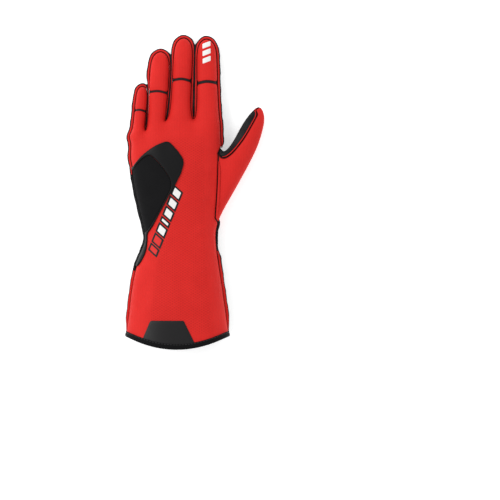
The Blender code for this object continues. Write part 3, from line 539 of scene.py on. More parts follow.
def cuff_share(points):
    """How far across and down the cuff each point is, both from 0 to 1."""
    ends = (WRIST_SEAM_Y - CUFF_LENGTH, WRIST_SEAM_Y)
    little = np.interp(points[:, 1], ends, (-HEM_LITTLE_SIDE, -WRIST_LITTLE_SIDE))
    thumb = np.interp(points[:, 1], ends, (HEM_THUMB_SIDE, WRIST_THUMB_SIDE))
    return np.clip((points[:, 0] - little) / (thumb - little), 0, 1), (WRIST_SEAM_Y - points[:, 1]) / CUFF_LENGTH


# The cuff's underside is shirred on elastic at the wrist: narrow pleats that fade into broad folds below.
PLEAT_HEIGHT = 2.1
PLEAT_COUNT = 11


def gathers(points):
    """Height of the gathers: uneven cosine pleats across the wrist, then a third as many broad folds."""
    across, down = cuff_share(points)
    inside = np.clip(np.minimum(across, 1 - across) / 0.12, 0, 1)
    pleats = np.clip(down / 0.05, 0, 1) * np.clip((0.40 - down) / 0.2, 0, 1)
    folds = np.clip(down / 0.2, 0, 1) * np.clip((0.85 - down) / 0.45, 0, 1)
    uneven = across + 0.012 * np.sin(9 * across + 14 * down) + 0.006 * np.sin(31 * across - 9 * down)
    wave = pleats * np.cos(2 * math.pi * PLEAT_COUNT * uneven)
    wave += pleats * 0.25 * np.cos(2 * math.pi * 2.37 * PLEAT_COUNT * uneven + 5 * down)
    wave += folds * 0.8 * np.cos(2 * math.pi * (PLEAT_COUNT // 3) * uneven)
    shirring = np.clip(down / 0.02, 0, 1) * np.clip((0.13 - down) / 0.03, 0, 1)
    wave += 0.16 * shirring * np.cos(2 * math.pi * down / 0.022)
    return PLEAT_HEIGHT * inside * wave


# How far the cloth is pulled in at a seam and how far that reaches, and how far from a seam the folds begin.
SEAM_DIP = 1.1
SEAM_REACH = 1.3
FOLD_MARGIN = 5.0

# The little finger's side seam bulges in two low waves: how far out, and each one's place, length and strength.
SIDE_SWELL = 2.0
SIDE_WAVES = ((95.0, 5.5, 1.0), (74.0, 7.0, 0.45))

form, form_quads, form_panel, form_away = smooth_form(glove_cage(), 3)

swell = sum(strength * np.exp(-((form[:, 1] - y) / long) ** 2) for y, long, strength in SIDE_WAVES)
swell *= np.clip((-form[:, 0] - 33) / 9, 0, 1) * (form[:, 1] < 108)
form[:, 0] -= SIDE_SWELL * swell

# Each point's distance to the nearest seam, and to the nearest seam between a red panel and a black one.
seams = seam_stretches(form_quads, form_panel, len(form))
seam_gap = distance_to_lines(form, form[seams[:, 0]], form[seams[:, 1]])
colours = np.isin(form_panel, (PALM, THUMB_PALM, CUFF_PALM)).astype(int)
side_seams = seam_stretches(form_quads, colours, len(form))
side_gap = distance_to_lines(form, form[side_seams[:, 0]], form[side_seams[:, 1]])

# Which panels each point of the form belongs to.
touch = np.zeros((len(form), PANEL_COUNT), bool)
for number in range(PANEL_COUNT):
    touch[form_quads[form_panel == number].ravel(), number] = True

# The cloth's outer face is the form, moved in at the seams, in and out at the folds, and down where it is gathered.
lift = -SEAM_DIP * np.exp(-(seam_gap / SEAM_REACH) ** 2)
lift += creased(form, form_away) * np.clip(seam_gap / FOLD_MARGIN, 0, 1)
outer = form + form_away * lift[:, None]
outer[:, 2] += np.where(touch[:, CUFF_PALM], gathers(form), 0.0)
outer[:, 2] = np.maximum(outer[:, 2], np.minimum(form[:, 2], PALM_REST_Z))
form_tris = np.concatenate([form_quads[:, (0, 1, 2)], form_quads[:, (0, 2, 3)]])
outer_tree = BVHTree.FromPolygons(outer.tolist(), form_tris.tolist())


# Red cloth over the back of the hand and the cuff, in one panel from the hem to the slits in the fingers, then a
# panel over each fingertip. It is a polyester knit bonded to a thin fleece, cut flat and sewn at its edges.
WALL = 1.6
SEAM_GAP = 0.15

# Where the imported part's origin lies, in millimetres from the wrist.
ROW_SHIFT = np.array((19.312, 39.049, 0.0))

# Half the width of each finger's slit at its middle, from the little finger to the index, and how far in from the
# side seams a slit takes to open.
SLIT_OPENINGS = (0.3, 0.4, 0.6, 0.85)
SLIT_TAPER = 4.5

# The painted seam shade beside a side seam is this much wider than beside the other seams. On the cuff it fades:
# heights up the hand, and what is added to the distance there.
SIDE_REACH = 1.25
CUFF_FADE = ((-50.0, -25.0), (0.75, 0.0))

# Where the tuck stitches are: shares across the cuff and the hand, and heights up them.
ZONE_ACROSS = (0.2, 0.87)
ZONE_UP = (-104, 96)

# A wave texture's bands lie this far apart at scale 1.
WAVE_PITCH = 0.314


def linear(hex_colour):
    """An sRGB hex colour as linear red, green, blue and alpha."""
    values = np.array([int(hex_colour[k:k + 2], 16) for k in (1, 3, 5)]) / 255
    values = np.where(values <= 0.04045, values / 12.92, ((values + 0.055) / 1.055) ** 2.4)
    return (*values.tolist(), 1.0)


def add_node(tree, kind, inputs=None, **settings):
    """Adds a node with its settings. Each of its inputs gets a value, or the socket that feeds it."""
    made = tree.nodes.new(kind)
    for name, value in settings.items():
        setattr(made, name, value)
    for name, value in (inputs or {}).items():
        if isinstance(value, bpy.types.NodeSocket):
            tree.links.new(value, made.inputs[name])
        else:
            made.inputs[name].default_value = value
    return made


def new_finish(name, colour, roughness, **sockets):
    """A material whose shader has its constant values set, with its node tree and shader."""
    made = bpy.data.materials.new(name)
    made.use_nodes = True
    made.diffuse_color = linear(colour)
    shader = made.node_tree.nodes["Principled BSDF"]
    shader.inputs["Base Color"].default_value = linear(colour)
    shader.inputs["Roughness"].default_value = roughness
    for name, value in sockets.items():
        shader.inputs[name.replace("_", " ")].default_value = value
    return made, made.node_tree, shader


def noise(tree, scale, detail, **inputs):
    """The outputs of a noise over the piece, at so many repeats to a metre."""
    place = add_node(tree, "ShaderNodeTexCoord").outputs["Object"]
    return add_node(tree, "ShaderNodeTexNoise", {"Vector": place, "Scale": scale, "Detail": detail, **inputs}).outputs


def lines(tree, spacing, across, lean=0.0, **inputs):
    """Lines on the cloth from 0 to 1, a spacing in millimetres apart, across X or Y and leaning by some degrees."""
    cloth = add_node(tree, "ShaderNodeUVMap", uv_map="cloth").outputs["UV"]
    if lean:
        turn = (0, 0, math.radians(lean))
        cloth = add_node(tree, "ShaderNodeMapping", {"Vector": cloth, "Rotation": turn}).outputs[0]
    inputs = {name.replace("_", " "): value for name, value in inputs.items()}
    return add_node(tree, "ShaderNodeTexWave", {"Vector": cloth, "Scale": WAVE_PITCH / spacing, **inputs},
                    bands_direction=across).outputs["Fac"]


def ranged(tree, value, start, end, low=0.0, high=1.0, way="LINEAR"):
    """A value's range from start to end, spread over low to high."""
    spread = {"Value": value, "From Min": start, "From Max": end, "To Min": low, "To Max": high}
    return add_node(tree, "ShaderNodeMapRange", spread, interpolation_type=way).outputs[0]


def worked_out(tree, operation, *values):
    """The result of one step of arithmetic on sockets and numbers."""
    return add_node(tree, "ShaderNodeMath", dict(enumerate(values)), operation=operation).outputs[0]


def toned(tree, share, first, second, way="MIX"):
    """A share of the way from a colour to a second one, each given as a hex colour or as a socket."""
    first, second = (linear(colour) if isinstance(colour, str) else colour for colour in (first, second))
    return add_node(tree, "ShaderNodeMix", {0: share, 6: first, 7: second}, data_type="RGBA",
                    blend_type=way).outputs[2]


def emboss(tree, shader, height, strength, depth):
    """Gives the shader a relief from a height, with its strength and its depth in metres."""
    bump = add_node(tree, "ShaderNodeBump", {"Height": height, "Strength": strength, "Distance": depth})
    tree.links.new(bump.outputs[0], shader.inputs["Normal"])


def put_piece(name, points, faces, finishes, finish_of_face=None, sharp=50.0):
    """A smooth-shaded piece from points in millimetres, with creases where its faces turn sharply."""
    mesh = bpy.data.meshes.new(name)
    mesh.from_pydata(((points - ROW_SHIFT) * 0.001).tolist(), [], faces)
    for finish in finishes:
        mesh.materials.append(finish)
    if finish_of_face is not None:
        mesh.polygons.foreach_set("material_index", finish_of_face)
    mesh.shade_smooth()
    mesh.set_sharp_from_angle(angle=math.radians(sharp))
    mesh.update()
    piece = bpy.data.objects.new(name, mesh)
    bpy.context.scene.collection.objects.link(piece)
    return piece


def dress(piece, slot, *nodes):
    """The piece rides on the glove and stands for its solids. Its slot is not used."""
    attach(piece, "root")
    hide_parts(*nodes)


def lay_cloth(piece, flat, **values):
    """Gives a piece its cloth coordinates in millimetres, and one number a point for each named value."""
    mesh = piece.data
    corner = np.empty(len(mesh.loops), int)
    mesh.loops.foreach_get("vertex_index", corner)
    layer = mesh.uv_layers.new(name="cloth")
    layer.data.foreach_set("uv", flat[corner].ravel())
    for name, value in values.items():
        mesh.attributes.new(name, "FLOAT", "POINT").data.foreach_set("value", value)


def rim_of(quads):
    """The directed edges that only one quad has."""
    edges = directed_edges(quads)
    count = edges.max() + 1
    alone = ~np.isin(edges[:, 0] * count + edges[:, 1], edges[:, 1] * count + edges[:, 0])
    return edges[alone]


def slit_opening(points, slits, ends, near):
    """Half the width of a slit: nothing where it meets the side seams, full a few millimetres in."""
    away = np.linalg.norm(points[slits][:, None, :] - points[ends][None, :, :], axis=2).min(axis=1)
    half = np.array(SLIT_OPENINGS)[near[:, LITTLE_TIP:THUMB_BACK].argmax(axis=1)]
    return half * np.sin(np.clip(away / SLIT_TAPER, 0, 1) * math.pi / 2)


def cloth_wall(number, wall):
    """One panel: its patch of the form, drawn back from its seams, with an inner skin and a rim between.

    Returns the points, the faces, which skin each face is on (0 outer, 1 inner or rim), and each outer point's
    place in the form.
    """
    own = form_quads[form_panel == number]
    used, corner = np.unique(own, return_inverse=True)
    quads = corner.reshape(-1, 4)
    skin, away = outer[used].copy(), form_away[used]
    rim = rim_of(quads)
    after, before = np.arange(len(used)), np.arange(len(used))
    after[rim[:, 0]], before[rim[:, 1]] = rim[:, 1], rim[:, 0]
    edge = np.unique(rim)
    inwards = units(np.cross(away[edge], skin[after[edge]] - skin[before[edge]]))
    near = touch[used[edge]]
    near[:, number] = False
    draw = np.where(near.any(axis=1), SEAM_GAP, 0.0)
    tips = near[:, LITTLE_TIP:THUMB_BACK].any(axis=1) if number == BACK else near[:, BACK] & (number < THUMB_BACK)
    slits, ends = edge[tips & ~near[:, PALM]], edge[tips & near[:, PALM]]
    if len(slits):
        draw[np.isin(edge, slits)] += slit_opening(skin, slits, ends, touch[used[slits]])
    skin[edge] += inwards * draw[:, None]
    count = len(used)
    points = np.concatenate([skin, skin - away * wall])
    rims = np.stack([rim[:, 1], rim[:, 0], rim[:, 0] + count, rim[:, 1] + count], axis=1)
    faces = np.concatenate([quads, quads[:, ::-1] + count, rims])
    return points, faces, np.repeat((0, 1, 1), (len(quads), len(quads), len(rims))), used


def edge_darkness(used, side_reach):
    """Each point's distance to its panel's seams, in millimetres, for both skins of a wall: the finishes paint seam
    shade by it.

    A side seam counts from a reach away, because the cloth turns down beside it and is pulled in further.
    """
    from_side = np.clip(side_gap[used] - side_reach, 0, 10) + np.interp(form[used][:, 1], *CUFF_FADE)
    return np.tile(np.minimum(np.minimum(seam_gap[used], 10.0), from_side), 2)


def knit_finish():
    """Polyester warp knit, a saturated red that scatters light softly.

    It has a fine rib down the hand, small tuck stitches in a lattice over its middle, and painted shade in its seams.
    """
    made, tree, shader = new_finish("red_polyester_knit", "#dd2a26", 0.66, Sheen_Weight=0.02, Sheen_Roughness=0.4,
                                    Specular_IOR_Level=0.12)
    # The ribs are 0.9 mm apart on the real cloth, and 1.6 mm here, so that the render can show them.
    ribs = lines(tree, 1.6, "X", Distortion=1.2, Detail=2.0, Detail_Scale=3.0)
    # The tuck stitches are a diamond lattice with 2.2 mm between its rows.
    dots = worked_out(tree, "MULTIPLY", lines(tree, 2.2, "Y", lean=32), lines(tree, 2.2, "Y", lean=-32))
    zone = add_node(tree, "ShaderNodeAttribute", attribute_name="mesh_zone").outputs["Fac"]
    tucks = worked_out(tree, "MULTIPLY", dots, zone)
    grain = noise(tree, 900.0, 3.0)
    base = toned(tree, noise(tree, 45.0, 2.0)["Fac"], "#d52521", "#e62e29")
    dotted = toned(tree, worked_out(tree, "MULTIPLY", tucks, 0.42), base, "#a51513")
    grained = toned(tree, 0.25, dotted, grain["Color"], way="MULTIPLY")
    # Painted shade: within about 1.35 mm of a seam the red is darkened towards #1c0404, where the groove there lies
    # in shade.
    edge = add_node(tree, "ShaderNodeAttribute", attribute_name="edge").outputs["Fac"]
    shade = ranged(tree, edge, 0.3, 1.35, 0.95, 0.0, way="SMOOTHSTEP")
    tree.links.new(toned(tree, shade, grained, "#1c0404"), shader.inputs["Base Color"])
    height = worked_out(tree, "ADD", ribs, grain["Fac"])
    emboss(tree, shader, worked_out(tree, "MULTIPLY_ADD", tucks, -1.5, height), 0.35, 0.0003)
    return made


def lining_finish():
    """Brushed fleece on the inside of the panels: dull, dark and soft, with a nap that has no direction."""
    made, tree, shader = new_finish("fleece_lining", "#1c1c1e", 0.95, Sheen_Weight=0.05, Sheen_Roughness=0.6,
                                    Specular_IOR_Level=0.05)
    nap = noise(tree, 700.0, 4.0)["Fac"]
    tree.links.new(toned(tree, nap, "#141416", "#2a2a2d"), shader.inputs["Base Color"])
    emboss(tree, shader, nap, 0.4, 0.0004)
    return made


def mesh_zone(number, used):
    """How strongly the tuck stitches show: full over the middle of the hand and the cuff, gone at the sides.

    They are on the back's panel alone.
    """
    across, _ = cuff_share(form[used])
    y = form[used][:, 1]
    (left, right), (low, high) = ZONE_ACROSS, ZONE_UP
    inside = np.clip((across - left) / 0.05, 0, 1) * np.clip((right - across) / 0.05, 0, 1)
    zone = inside * np.clip((high - y) / 8, 0, 1) * np.clip((y - low) / 6, 0, 1)
    return np.tile(zone if number == BACK else np.zeros(len(used)), 2)


def sew(number, name, node_name, slot, finish, wall=WALL, side_reach=0.0, zoned=False):
    """One panel as a piece: its finish outside, the lining inside, and the numbers that its finish reads."""
    points, faces, skins, used = cloth_wall(number, wall)
    piece = put_piece(name, points, faces.tolist(), (finish, lining), skins)
    zone = {"mesh_zone": mesh_zone(number, used)} if zoned else {}
    lay_cloth(piece, points[:, :2], edge=edge_darkness(used, side_reach), **zone)
    dress(piece, slot, node_name)


red_knit = knit_finish()
lining = lining_finish()
KNIT_PANELS = (
    # panel, piece, the solid it stands for
    (BACK, "knit_back_of_hand", "back_panel"),
    (LITTLE_TIP, "knit_little_fingertip", "little_tip_back"),
    (LITTLE_TIP + 1, "knit_ring_fingertip", "ring_tip_back"),
    (LITTLE_TIP + 2, "knit_middle_fingertip", "middle_tip_back"),
    (LITTLE_TIP + 3, "knit_index_fingertip", "index_tip_back"),
)
for number, name, node_name in KNIT_PANELS:
    sew(number, name, node_name, "red_knit", red_knit, side_reach=SIDE_REACH, zoned=True)


# The thumb's red cloth is the same knit, cut as one panel. It covers the thumb's back and outside and runs on under
# it to the wrist as a band, and it is sewn to the back of the hand along the thumb's root.
sew(THUMB_BACK, "knit_thumb_back", "thumb_back", "red_knit", red_knit, side_reach=SIDE_REACH, zoned=True)


# The palm, the fingers' undersides and the inside of the thumb are black synthetic suede. It is cut in two panels,
# one for the hand and one for the thumb, and both are sewn to the red cloth along their sides.
def suede_finish():
    """Microfibre suede: a short nap that makes black look soft and a little grey where it is brushed or folded."""
    made, tree, shader = new_finish("synthetic_suede", "#1f1f20", 0.92, Sheen_Weight=0.04, Sheen_Roughness=0.5,
                                    Specular_IOR_Level=0.06)
    nap, brushed = noise(tree, 1100.0, 4.0, Roughness=0.65), noise(tree, 70.0, 3.0)
    both = worked_out(tree, "MULTIPLY", nap["Fac"], brushed["Fac"])
    colour = toned(tree, ranged(tree, both, 0.12, 0.42), "#151516", "#333334")
    # Painted shade: near its seams the suede is darkened towards #060606, where the groove there lies in shade.
    edge = add_node(tree, "ShaderNodeAttribute", attribute_name="edge").outputs["Fac"]
    shade = ranged(tree, edge, 0.2, 1.4, 0.7, 0.0, way="SMOOTHSTEP")
    tree.links.new(toned(tree, shade, colour, "#060606"), shader.inputs["Base Color"])
    emboss(tree, shader, both, 0.5, 0.0005)
    return made


suede = suede_finish()
sew(PALM, "suede_palm", "palm_panel", "black_suede", suede)
sew(THUMB_PALM, "suede_thumb", "thumb_palm", "black_suede", suede)


# Under the cuff is a black two-way stretch cloth of woven nylon. It is gathered on elastic at the wrist, and sewn to
# the suede above it and to the red cloth at its sides.
STRETCH_WALL = 1.3


def stretch_finish():
    """Nylon stretch weave: black, with the crests of its ribs painted lighter as a faint sheen. The ribs run down the
    cuff.
    """
    made, tree, shader = new_finish("nylon_stretch_cloth", "#1b1b1d", 0.7, Sheen_Weight=0.02, Sheen_Roughness=0.45,
                                    Specular_IOR_Level=0.12)
    # The ribs are 0.8 mm apart on the real cloth, and 1.5 mm here, so that the render can show them.
    ribs = lines(tree, 1.5, "X", Distortion=0.8, Detail=2.0, Detail_Scale=2.0)
    weave = worked_out(tree, "MULTIPLY", ribs, lines(tree, 1.2, "Y"))
    both = worked_out(tree, "MULTIPLY_ADD", weave, 0.5, noise(tree, 60.0, 3.0)["Fac"])
    colour = toned(tree, ranged(tree, both, 0.3, 1.0), "#131314", "#2b2b2d")
    tree.links.new(colour, shader.inputs["Base Color"])
    emboss(tree, shader, weave, 0.35, 0.0003)
    return made


stretch_cloth = stretch_finish()
sew(CUFF_PALM, "gathered_cuff", "cuff_palm", "black_stretch", stretch_cloth, wall=STRETCH_WALL)


# Each finger has a slit across its back where the red cloth parts over a strip of black stretch cloth, so that
# the finger bends. The strip is sewn in behind both edges of the slit.
STRIP_WIDTH = 6.5
STRIP_DEPTH = 1.15

# The strip's middle lies below the form by this share of the red cloth's thickness.
STRIP_SINK = 0.55

# The strip's section, a low ridge: in halves of its width across the slit, and in millimetres out from the finger.
STRIP_PROFILE = np.array(((-1, -0.75), (-0.5, -0.25), (0, 0.0), (0.5, -0.25), (1, -0.75),
                          (1, -0.75 - STRIP_DEPTH), (0, -STRIP_DEPTH), (-1, -0.75 - STRIP_DEPTH)))


def seam_chain(inside, outside):
    """The longest run of points along the seams between two sets of panels, in the sense of the first set."""
    edges = directed_edges(form_quads)
    owner = np.repeat(form_panel, 4)
    key, back = edges[:, 0] * len(form) + edges[:, 1], edges[:, 1] * len(form) + edges[:, 0]
    chosen = np.isin(owner, inside) & np.isin(key, back[np.isin(owner, outside)])
    follow = dict(edges[chosen].tolist())
    chains = []
    for start in set(follow) - set(follow.values()):
        chain = [start]
        while chain[-1] in follow:
            chain.append(follow[chain[-1]])
        chains.append(np.array(chain))
    return sorted(chains, key=len)[::-1]


def swept(sections, closed=False):
    """A surface through equal rings of points, one after another, with flat ends unless it closes on itself.

    Returns the points and the faces, and for each face which side of the ring it is on (-1 for an end).
    """
    count, size = sections.shape[:2]
    here = np.arange(count if closed else count - 1)[:, None] * size
    there = (here + size) % (count * size)
    k = np.arange(size)[None, :]
    after = (k + 1) % size
    faces = np.stack([here + k, here + after, there + after, there + k], axis=2).reshape(-1, 4).tolist()
    side = np.tile(np.arange(size), len(here)).tolist()
    if not closed:
        faces += [list(range(size))[::-1], list(range((count - 1) * size, count * size))]
        side += [-1, -1]
    return sections.reshape(-1, 3), faces, np.array(side)


for number, row in enumerate(FINGERS):
    chain = seam_chain([BACK], [LITTLE_TIP + number])[0]
    away = form_away[chain]
    along = units(np.array([0.0, 1.0, 0.0]) - away * away[:, 1:2]) * STRIP_WIDTH / 2
    middle = form[chain] - away * (WALL * STRIP_SINK)
    sections = middle[:, None] + along[:, None] * STRIP_PROFILE[None, :, :1]
    sections = sections + away[:, None] * STRIP_PROFILE[None, :, 1:]
    points, faces, _ = swept(sections)
    piece = put_piece("slit_strip_" + row[0], points, faces, (stretch_cloth,))
    lay_cloth(piece, points[:, :2])
    dress(piece, "black_stretch", "knuckle_gusset_" + row[0])


# The panels are sewn with their edges outwards: two plies, red over black, stand out from each side seam as a
# narrow flange. Along the back patch the upper ply is black too. At the hem they run in under the tape.
FLANGE_WIDTH = 2.7
FLANGE_THICKNESS = 1.4
LEAST_FLANGE_WIDTH = 0.7
CUFF_FLANGE_WIDTH = FLANGE_WIDTH + 0.4
THUMB_FLANGE_WIDTH = 1.5
HEM_ROOM = 1.5

# Over what length a flange narrows at its ends, also for those at the hem, and to what share of its width there.
TAPER = 7.0
HEM_TAPER = 18.0
CUFF_MIDDLE_Y = -60.0
POINTED_END = 0.12
BLUNT_END = 0.45

# At the wrist the cuff's flange runs on past its seam, and sinks towards the hand over its last millimetres.
LEAD = 3.0
LEAD_REACH = 9.0
LEAD_SINK = 1.9

# On the cuff's thumb side it narrows: heights up the hand, and shares of its width there.
NARROWING = ((-27.0, -19.0, 2.0, 12.0), (1.0, 0.5, 0.65, 1.0))

# How far the black ply reaches as a share of the red one, from the cuff to the hand, and at most between fingers.
BLACK_REACH = ((-50.0, -25.0), (1.04, 1.22))
MOST_BLACK_REACH = 1.4

# The room beside a seam is felt from a little way out. The red plies of two fingers stay clear of each other, and
# the black ones just meet.
FEELER_START = 0.4
RED_CLEARANCE = 0.6
BLACK_OVERLAP = 0.05

# Where the upper ply is black too, up the hand: beside the patch, and below the thumb's root.
PATCH_SIDE = (-37.0, 59.0)
THUMB_SIDE = (-22.0, 20.0)

# The flange's section, with a groove between its plies: out from the seam, and across it from the red side.
FLANGE_PROFILE = np.array(((0, -0.9), (0.35, -1.0), (0.64, -1.0), (0.79, -0.8), (0.83, -0.4), (0.75, 0.0),
                           (1.0, 0.3), (1.04, 0.7), (0.85, 1.0), (0.35, 1.0), (0, 0.9), (-0.2, 0.0)))
FIRST_BLACK_SIDE, LAST_BLACK_SIDE = 5, 10


def chain_frames(chain):
    """At each point of a chain: the point, its outward direction, and the direction across the seam."""
    spot = form[chain]
    step = units(np.diff(spot, axis=0))
    along = units(np.concatenate([step[:1], step]) + np.concatenate([step, step[-1:]]))
    away = form_away[chain]
    away = units(away - along * (along * away).sum(axis=1, keepdims=True))
    return spot, away, np.cross(along, away)


form_tree = BVHTree.FromPolygons(form.tolist(), form_tris.tolist())


def clear_room(spot, away, most):
    """How far apart a seam's points are from what they face, up to a most."""
    hits = [form_tree.ray_cast(Vector(p + a * FEELER_START), Vector(a), most) for p, a in zip(spot, away)]
    return np.array([most if hit[0] is None else hit[3] for hit in hits])


def clear_width(room, width):
    """How far a ply can stand out and still clear what it faces, the least of its neighbours', then eased."""
    reach = np.maximum(np.minimum(width, (room - RED_CLEARANCE) / 2), LEAST_FLANGE_WIDTH)
    padded = np.pad(reach, 2, mode="edge")
    least = np.min([padded[k:k + len(reach)] for k in range(5)], axis=0)
    padded = np.pad(least, 2, mode="edge")
    return np.mean([padded[k:k + len(reach)] for k in range(5)], axis=0)


def eased(line, reach):
    """A line of points, each moved to the mean of those within a reach of it along the line."""
    padded = np.pad(line, ((reach, reach), (0, 0)), mode="edge")
    return np.mean([padded[k:k + len(line)] for k in range(2 * reach + 1)], axis=0)


def flange(name, chain, width, node_name, easing=0, lead=0.0):
    """A flange along a seam, its width a little uneven as sewn edges are, red above and black below.

    The black ply stands a little further out, and between two fingers it fills what room there is. Each section is
    the flange's profile, scaled by the width that each ply has there and swept along the seam.
    """
    spot, away, across = chain_frames(chain)
    if lead:
        spot = np.concatenate([spot, [spot[-1] + units(spot[-1] - spot[-2]) * lead]])
        away, across = np.concatenate([away, away[-1:]]), np.concatenate([across, across[-1:]])
        from_end = np.linalg.norm(spot - spot[-1], axis=1)
        spot = spot - away * np.interp(from_end, (0, LEAD_REACH), (LEAD_SINK, 0))[:, None]
    if easing:
        spot, away = eased(spot, easing), units(eased(away, easing))
        across = units(np.cross(np.gradient(spot, axis=0), away))
    run = np.concatenate([[0], np.cumsum(np.linalg.norm(np.diff(spot, axis=0), axis=1))])
    open_room = 4 * width
    room = clear_room(spot, away, open_room)
    red = np.full(len(spot), width) if lead else clear_width(room, width)
    red = red * (1 + 0.05 * np.sin(run / 2.9) + 0.03 * np.sin(run / 1.3))
    red = red * np.where(spot[:, 0] > 0, np.interp(spot[:, 1], *NARROWING), 1)
    black = np.interp(spot[:, 1], *BLACK_REACH) * red
    meeting = np.clip((room + FEELER_START + BLACK_OVERLAP) / 2, black, MOST_BLACK_REACH * width)
    black = np.where(room < open_room, meeting, black)
    taper = [HEM_TAPER if spot[k, 1] < CUFF_MIDDLE_Y else TAPER for k in (0, -1)]
    last_end = BLUNT_END if lead else POINTED_END
    ease = np.clip(np.minimum(run / taper[0] + POINTED_END, (run[-1] - run) / taper[1] + last_end), 0, 1)
    ease = ease[:, None, None]
    lower_ply = ((FLANGE_PROFILE[:, 1] > 0.2) & (FLANGE_PROFILE[:, 0] > 0.5))[None, :, None]
    out = FLANGE_PROFILE[None, :, :1] * np.where(lower_ply, black[:, None, None], red[:, None, None])
    thick = FLANGE_PROFILE[None, :, 1:] * ease ** 0.5 * FLANGE_THICKNESS / 2
    points, faces, side = swept(spot[:, None] + away[:, None] * out * ease + across[:, None] * thick)
    section_of = np.minimum(np.arange(len(faces)) // len(FLANGE_PROFILE), len(spot) - 1)
    x, y = spot[section_of][:, 0], spot[section_of][:, 1]
    low, high = np.where(x[:, None] < 0, PATCH_SIDE, THUMB_SIDE).T
    dark = (side >= FIRST_BLACK_SIDE) & (side <= LAST_BLACK_SIDE) | (y > low) & (y < high)
    piece = put_piece(name, points, faces, (red_knit, suede), dark.astype(int))
    # The red ply is darkened near its root: painted shade in the groove where it leaves the seam, which also stands
    # for the dark stitching there. It fades on the cuff.
    from_root = FLANGE_PROFILE[None, :, 0] * 4.0 - 0.1 + np.interp(spot[:, 1], *CUFF_FADE)[:, None]
    lay_cloth(piece, points[:, :2], edge=np.clip(from_root.ravel(), 0, 3), mesh_zone=np.zeros(len(points)))
    dress(piece, "red_knit", node_name)


backs = [BACK, *range(LITTLE_TIP, THUMB_BACK)]
long_chain, cuff_chain = seam_chain(backs, [PALM, CUFF_PALM])[:2]


def beyond_hem(chain):
    """The part of a side seam that the hem's tape leaves bare. The seam's lowest point is at the hem."""
    y = form[chain][:, 1]
    return chain[y > y.min() + HEM_ROOM]


flange("flange_round_fingers", beyond_hem(long_chain), FLANGE_WIDTH, "hand_welt")
flange("flange_cuff_thumb_side", beyond_hem(cuff_chain), CUFF_FLANGE_WIDTH, "cuff_welt", lead=LEAD)
thumb_chain = seam_chain([THUMB_BACK], [THUMB_PALM, PALM])[0]
tip = form[thumb_chain][:, 1].argmax()
flange("flange_round_thumb", thumb_chain[tip:][2:-2], THUMB_FLANGE_WIDTH, "thumb_welt", easing=4)

# Where the thumb joins the back of the hand, the flange is pressed flat on the thumb's side.
flat_profile = np.array(((0.3, 0.1), (0.3, 1.9), (0.75, 2.2), (1.15, 1.9), (1.2, 1.0), (1.15, 0.1)))
spot, away, across = chain_frames(seam_chain([BACK], [THUMB_BACK])[0][3:-2])
ease = np.clip(np.minimum(np.arange(len(spot)), np.arange(len(spot))[::-1]) / 3 + 0.25, 0, 1)[:, None, None]
sections = spot[:, None] + away[:, None] * flat_profile[None, :, :1] * ease
sections = sections + across[:, None] * flat_profile[None, :, 1:] * ease
points, faces, _ = swept(sections[:, ::-1])
piece = put_piece("flange_at_thumb_root", points, faces, (red_knit,))
lay_cloth(piece, points[:, :2], edge=np.full(len(points), 3.0), mesh_zone=np.zeros(len(points)))
dress(piece, "red_knit", "thumb_base_welt")


# The hem is bound with black woven tape. It is folded over the edge of every panel and sewn through with one row of
# stitches near its upper edge.
BINDING_DEPTH = 4.3


def tape_finish():
    """Woven polyester binding: black with a low lustre, in a fine twill that leans across the tape."""
    made, tree, shader = new_finish("woven_binding_tape", "#0d0d0e", 0.6, Specular_IOR_Level=0.06)
    # The twill's lines are 0.6 mm apart on real tape, and 1.2 mm here, so that the render can show them.
    twill = lines(tree, 1.2, "X", lean=40, Distortion=0.3)
    tree.links.new(toned(tree, twill, "#070708", "#151516"), shader.inputs["Base Color"])
    emboss(tree, shader, twill, 0.4, 0.0003)
    return made


def hem_loop():
    """The points round the open hem, in the sense of the panels' faces."""
    rim = rim_of(form_quads)
    follow = dict(rim.tolist())
    loop = [int(rim[0, 0])]
    while follow[loop[-1]] != loop[0]:
        loop.append(follow[loop[-1]])
    return np.array(loop)


# The tape's section, from its outer edge over the fold to its inner edge: out from the cloth, and past the hem.
TAPE_OUTER = ((0.15, -BINDING_DEPTH), (0.75, -BINDING_DEPTH - 0.05), (0.95, -BINDING_DEPTH + 0.5), (0.8, -2.9),
              (1.2, -1.2), (1.1, 0.2), (0.6, 0.95), (-0.2, 1.25))
TAPE_INNER = ((-1.4, 1.25), (-2.2, 0.95), (-2.7, 0.2), (-2.8, -1.2), (-2.5, -2.9), (-2.6, -BINDING_DEPTH + 0.5),
              (-2.4, -BINDING_DEPTH), (-1.75, -BINDING_DEPTH))
TAPE_FOLD = ((-1.75, 0.1), (0.15, 0.1))

loop = hem_loop()
ahead, behind = form[np.roll(loop, -1)], form[np.roll(loop, 1)]
along = units(ahead - behind)
away = form_away[loop]
away = units(away - along * (along * away).sum(axis=1, keepdims=True))
down = np.cross(along, away)
profile = np.array(TAPE_OUTER + TAPE_INNER + TAPE_FOLD)
sections = form[loop][:, None] + away[:, None] * profile[None, :, :1] + down[:, None] * profile[None, :, 1:]
points, faces, _ = swept(sections, closed=True)
run = np.concatenate([[0], np.cumsum(np.linalg.norm(np.diff(form[loop], axis=0), axis=1))])
round_tape = np.concatenate([[0], np.cumsum(np.linalg.norm(np.diff(profile, axis=0), axis=1))])
flat = np.stack(np.meshgrid(run, round_tape, indexing="ij"), axis=2).reshape(-1, 2)
piece = put_piece("hem_tape", points, faces, (tape_finish(),), sharp=70.0)
lay_cloth(piece, flat)
dress(piece, "binding_tape", "hem_binding")


# The tape's stitches are of black bonded polyester thread, in one row of a lockstitch machine that runs round the
# whole hem. Between two stitches the thread dips through the tape.
STITCH_PITCH = 3.1
STITCH_LENGTH = 2.3
STITCH_ROW = -3.3
STITCH_LIFT = 0.9
THREAD_RADIUS = 0.24


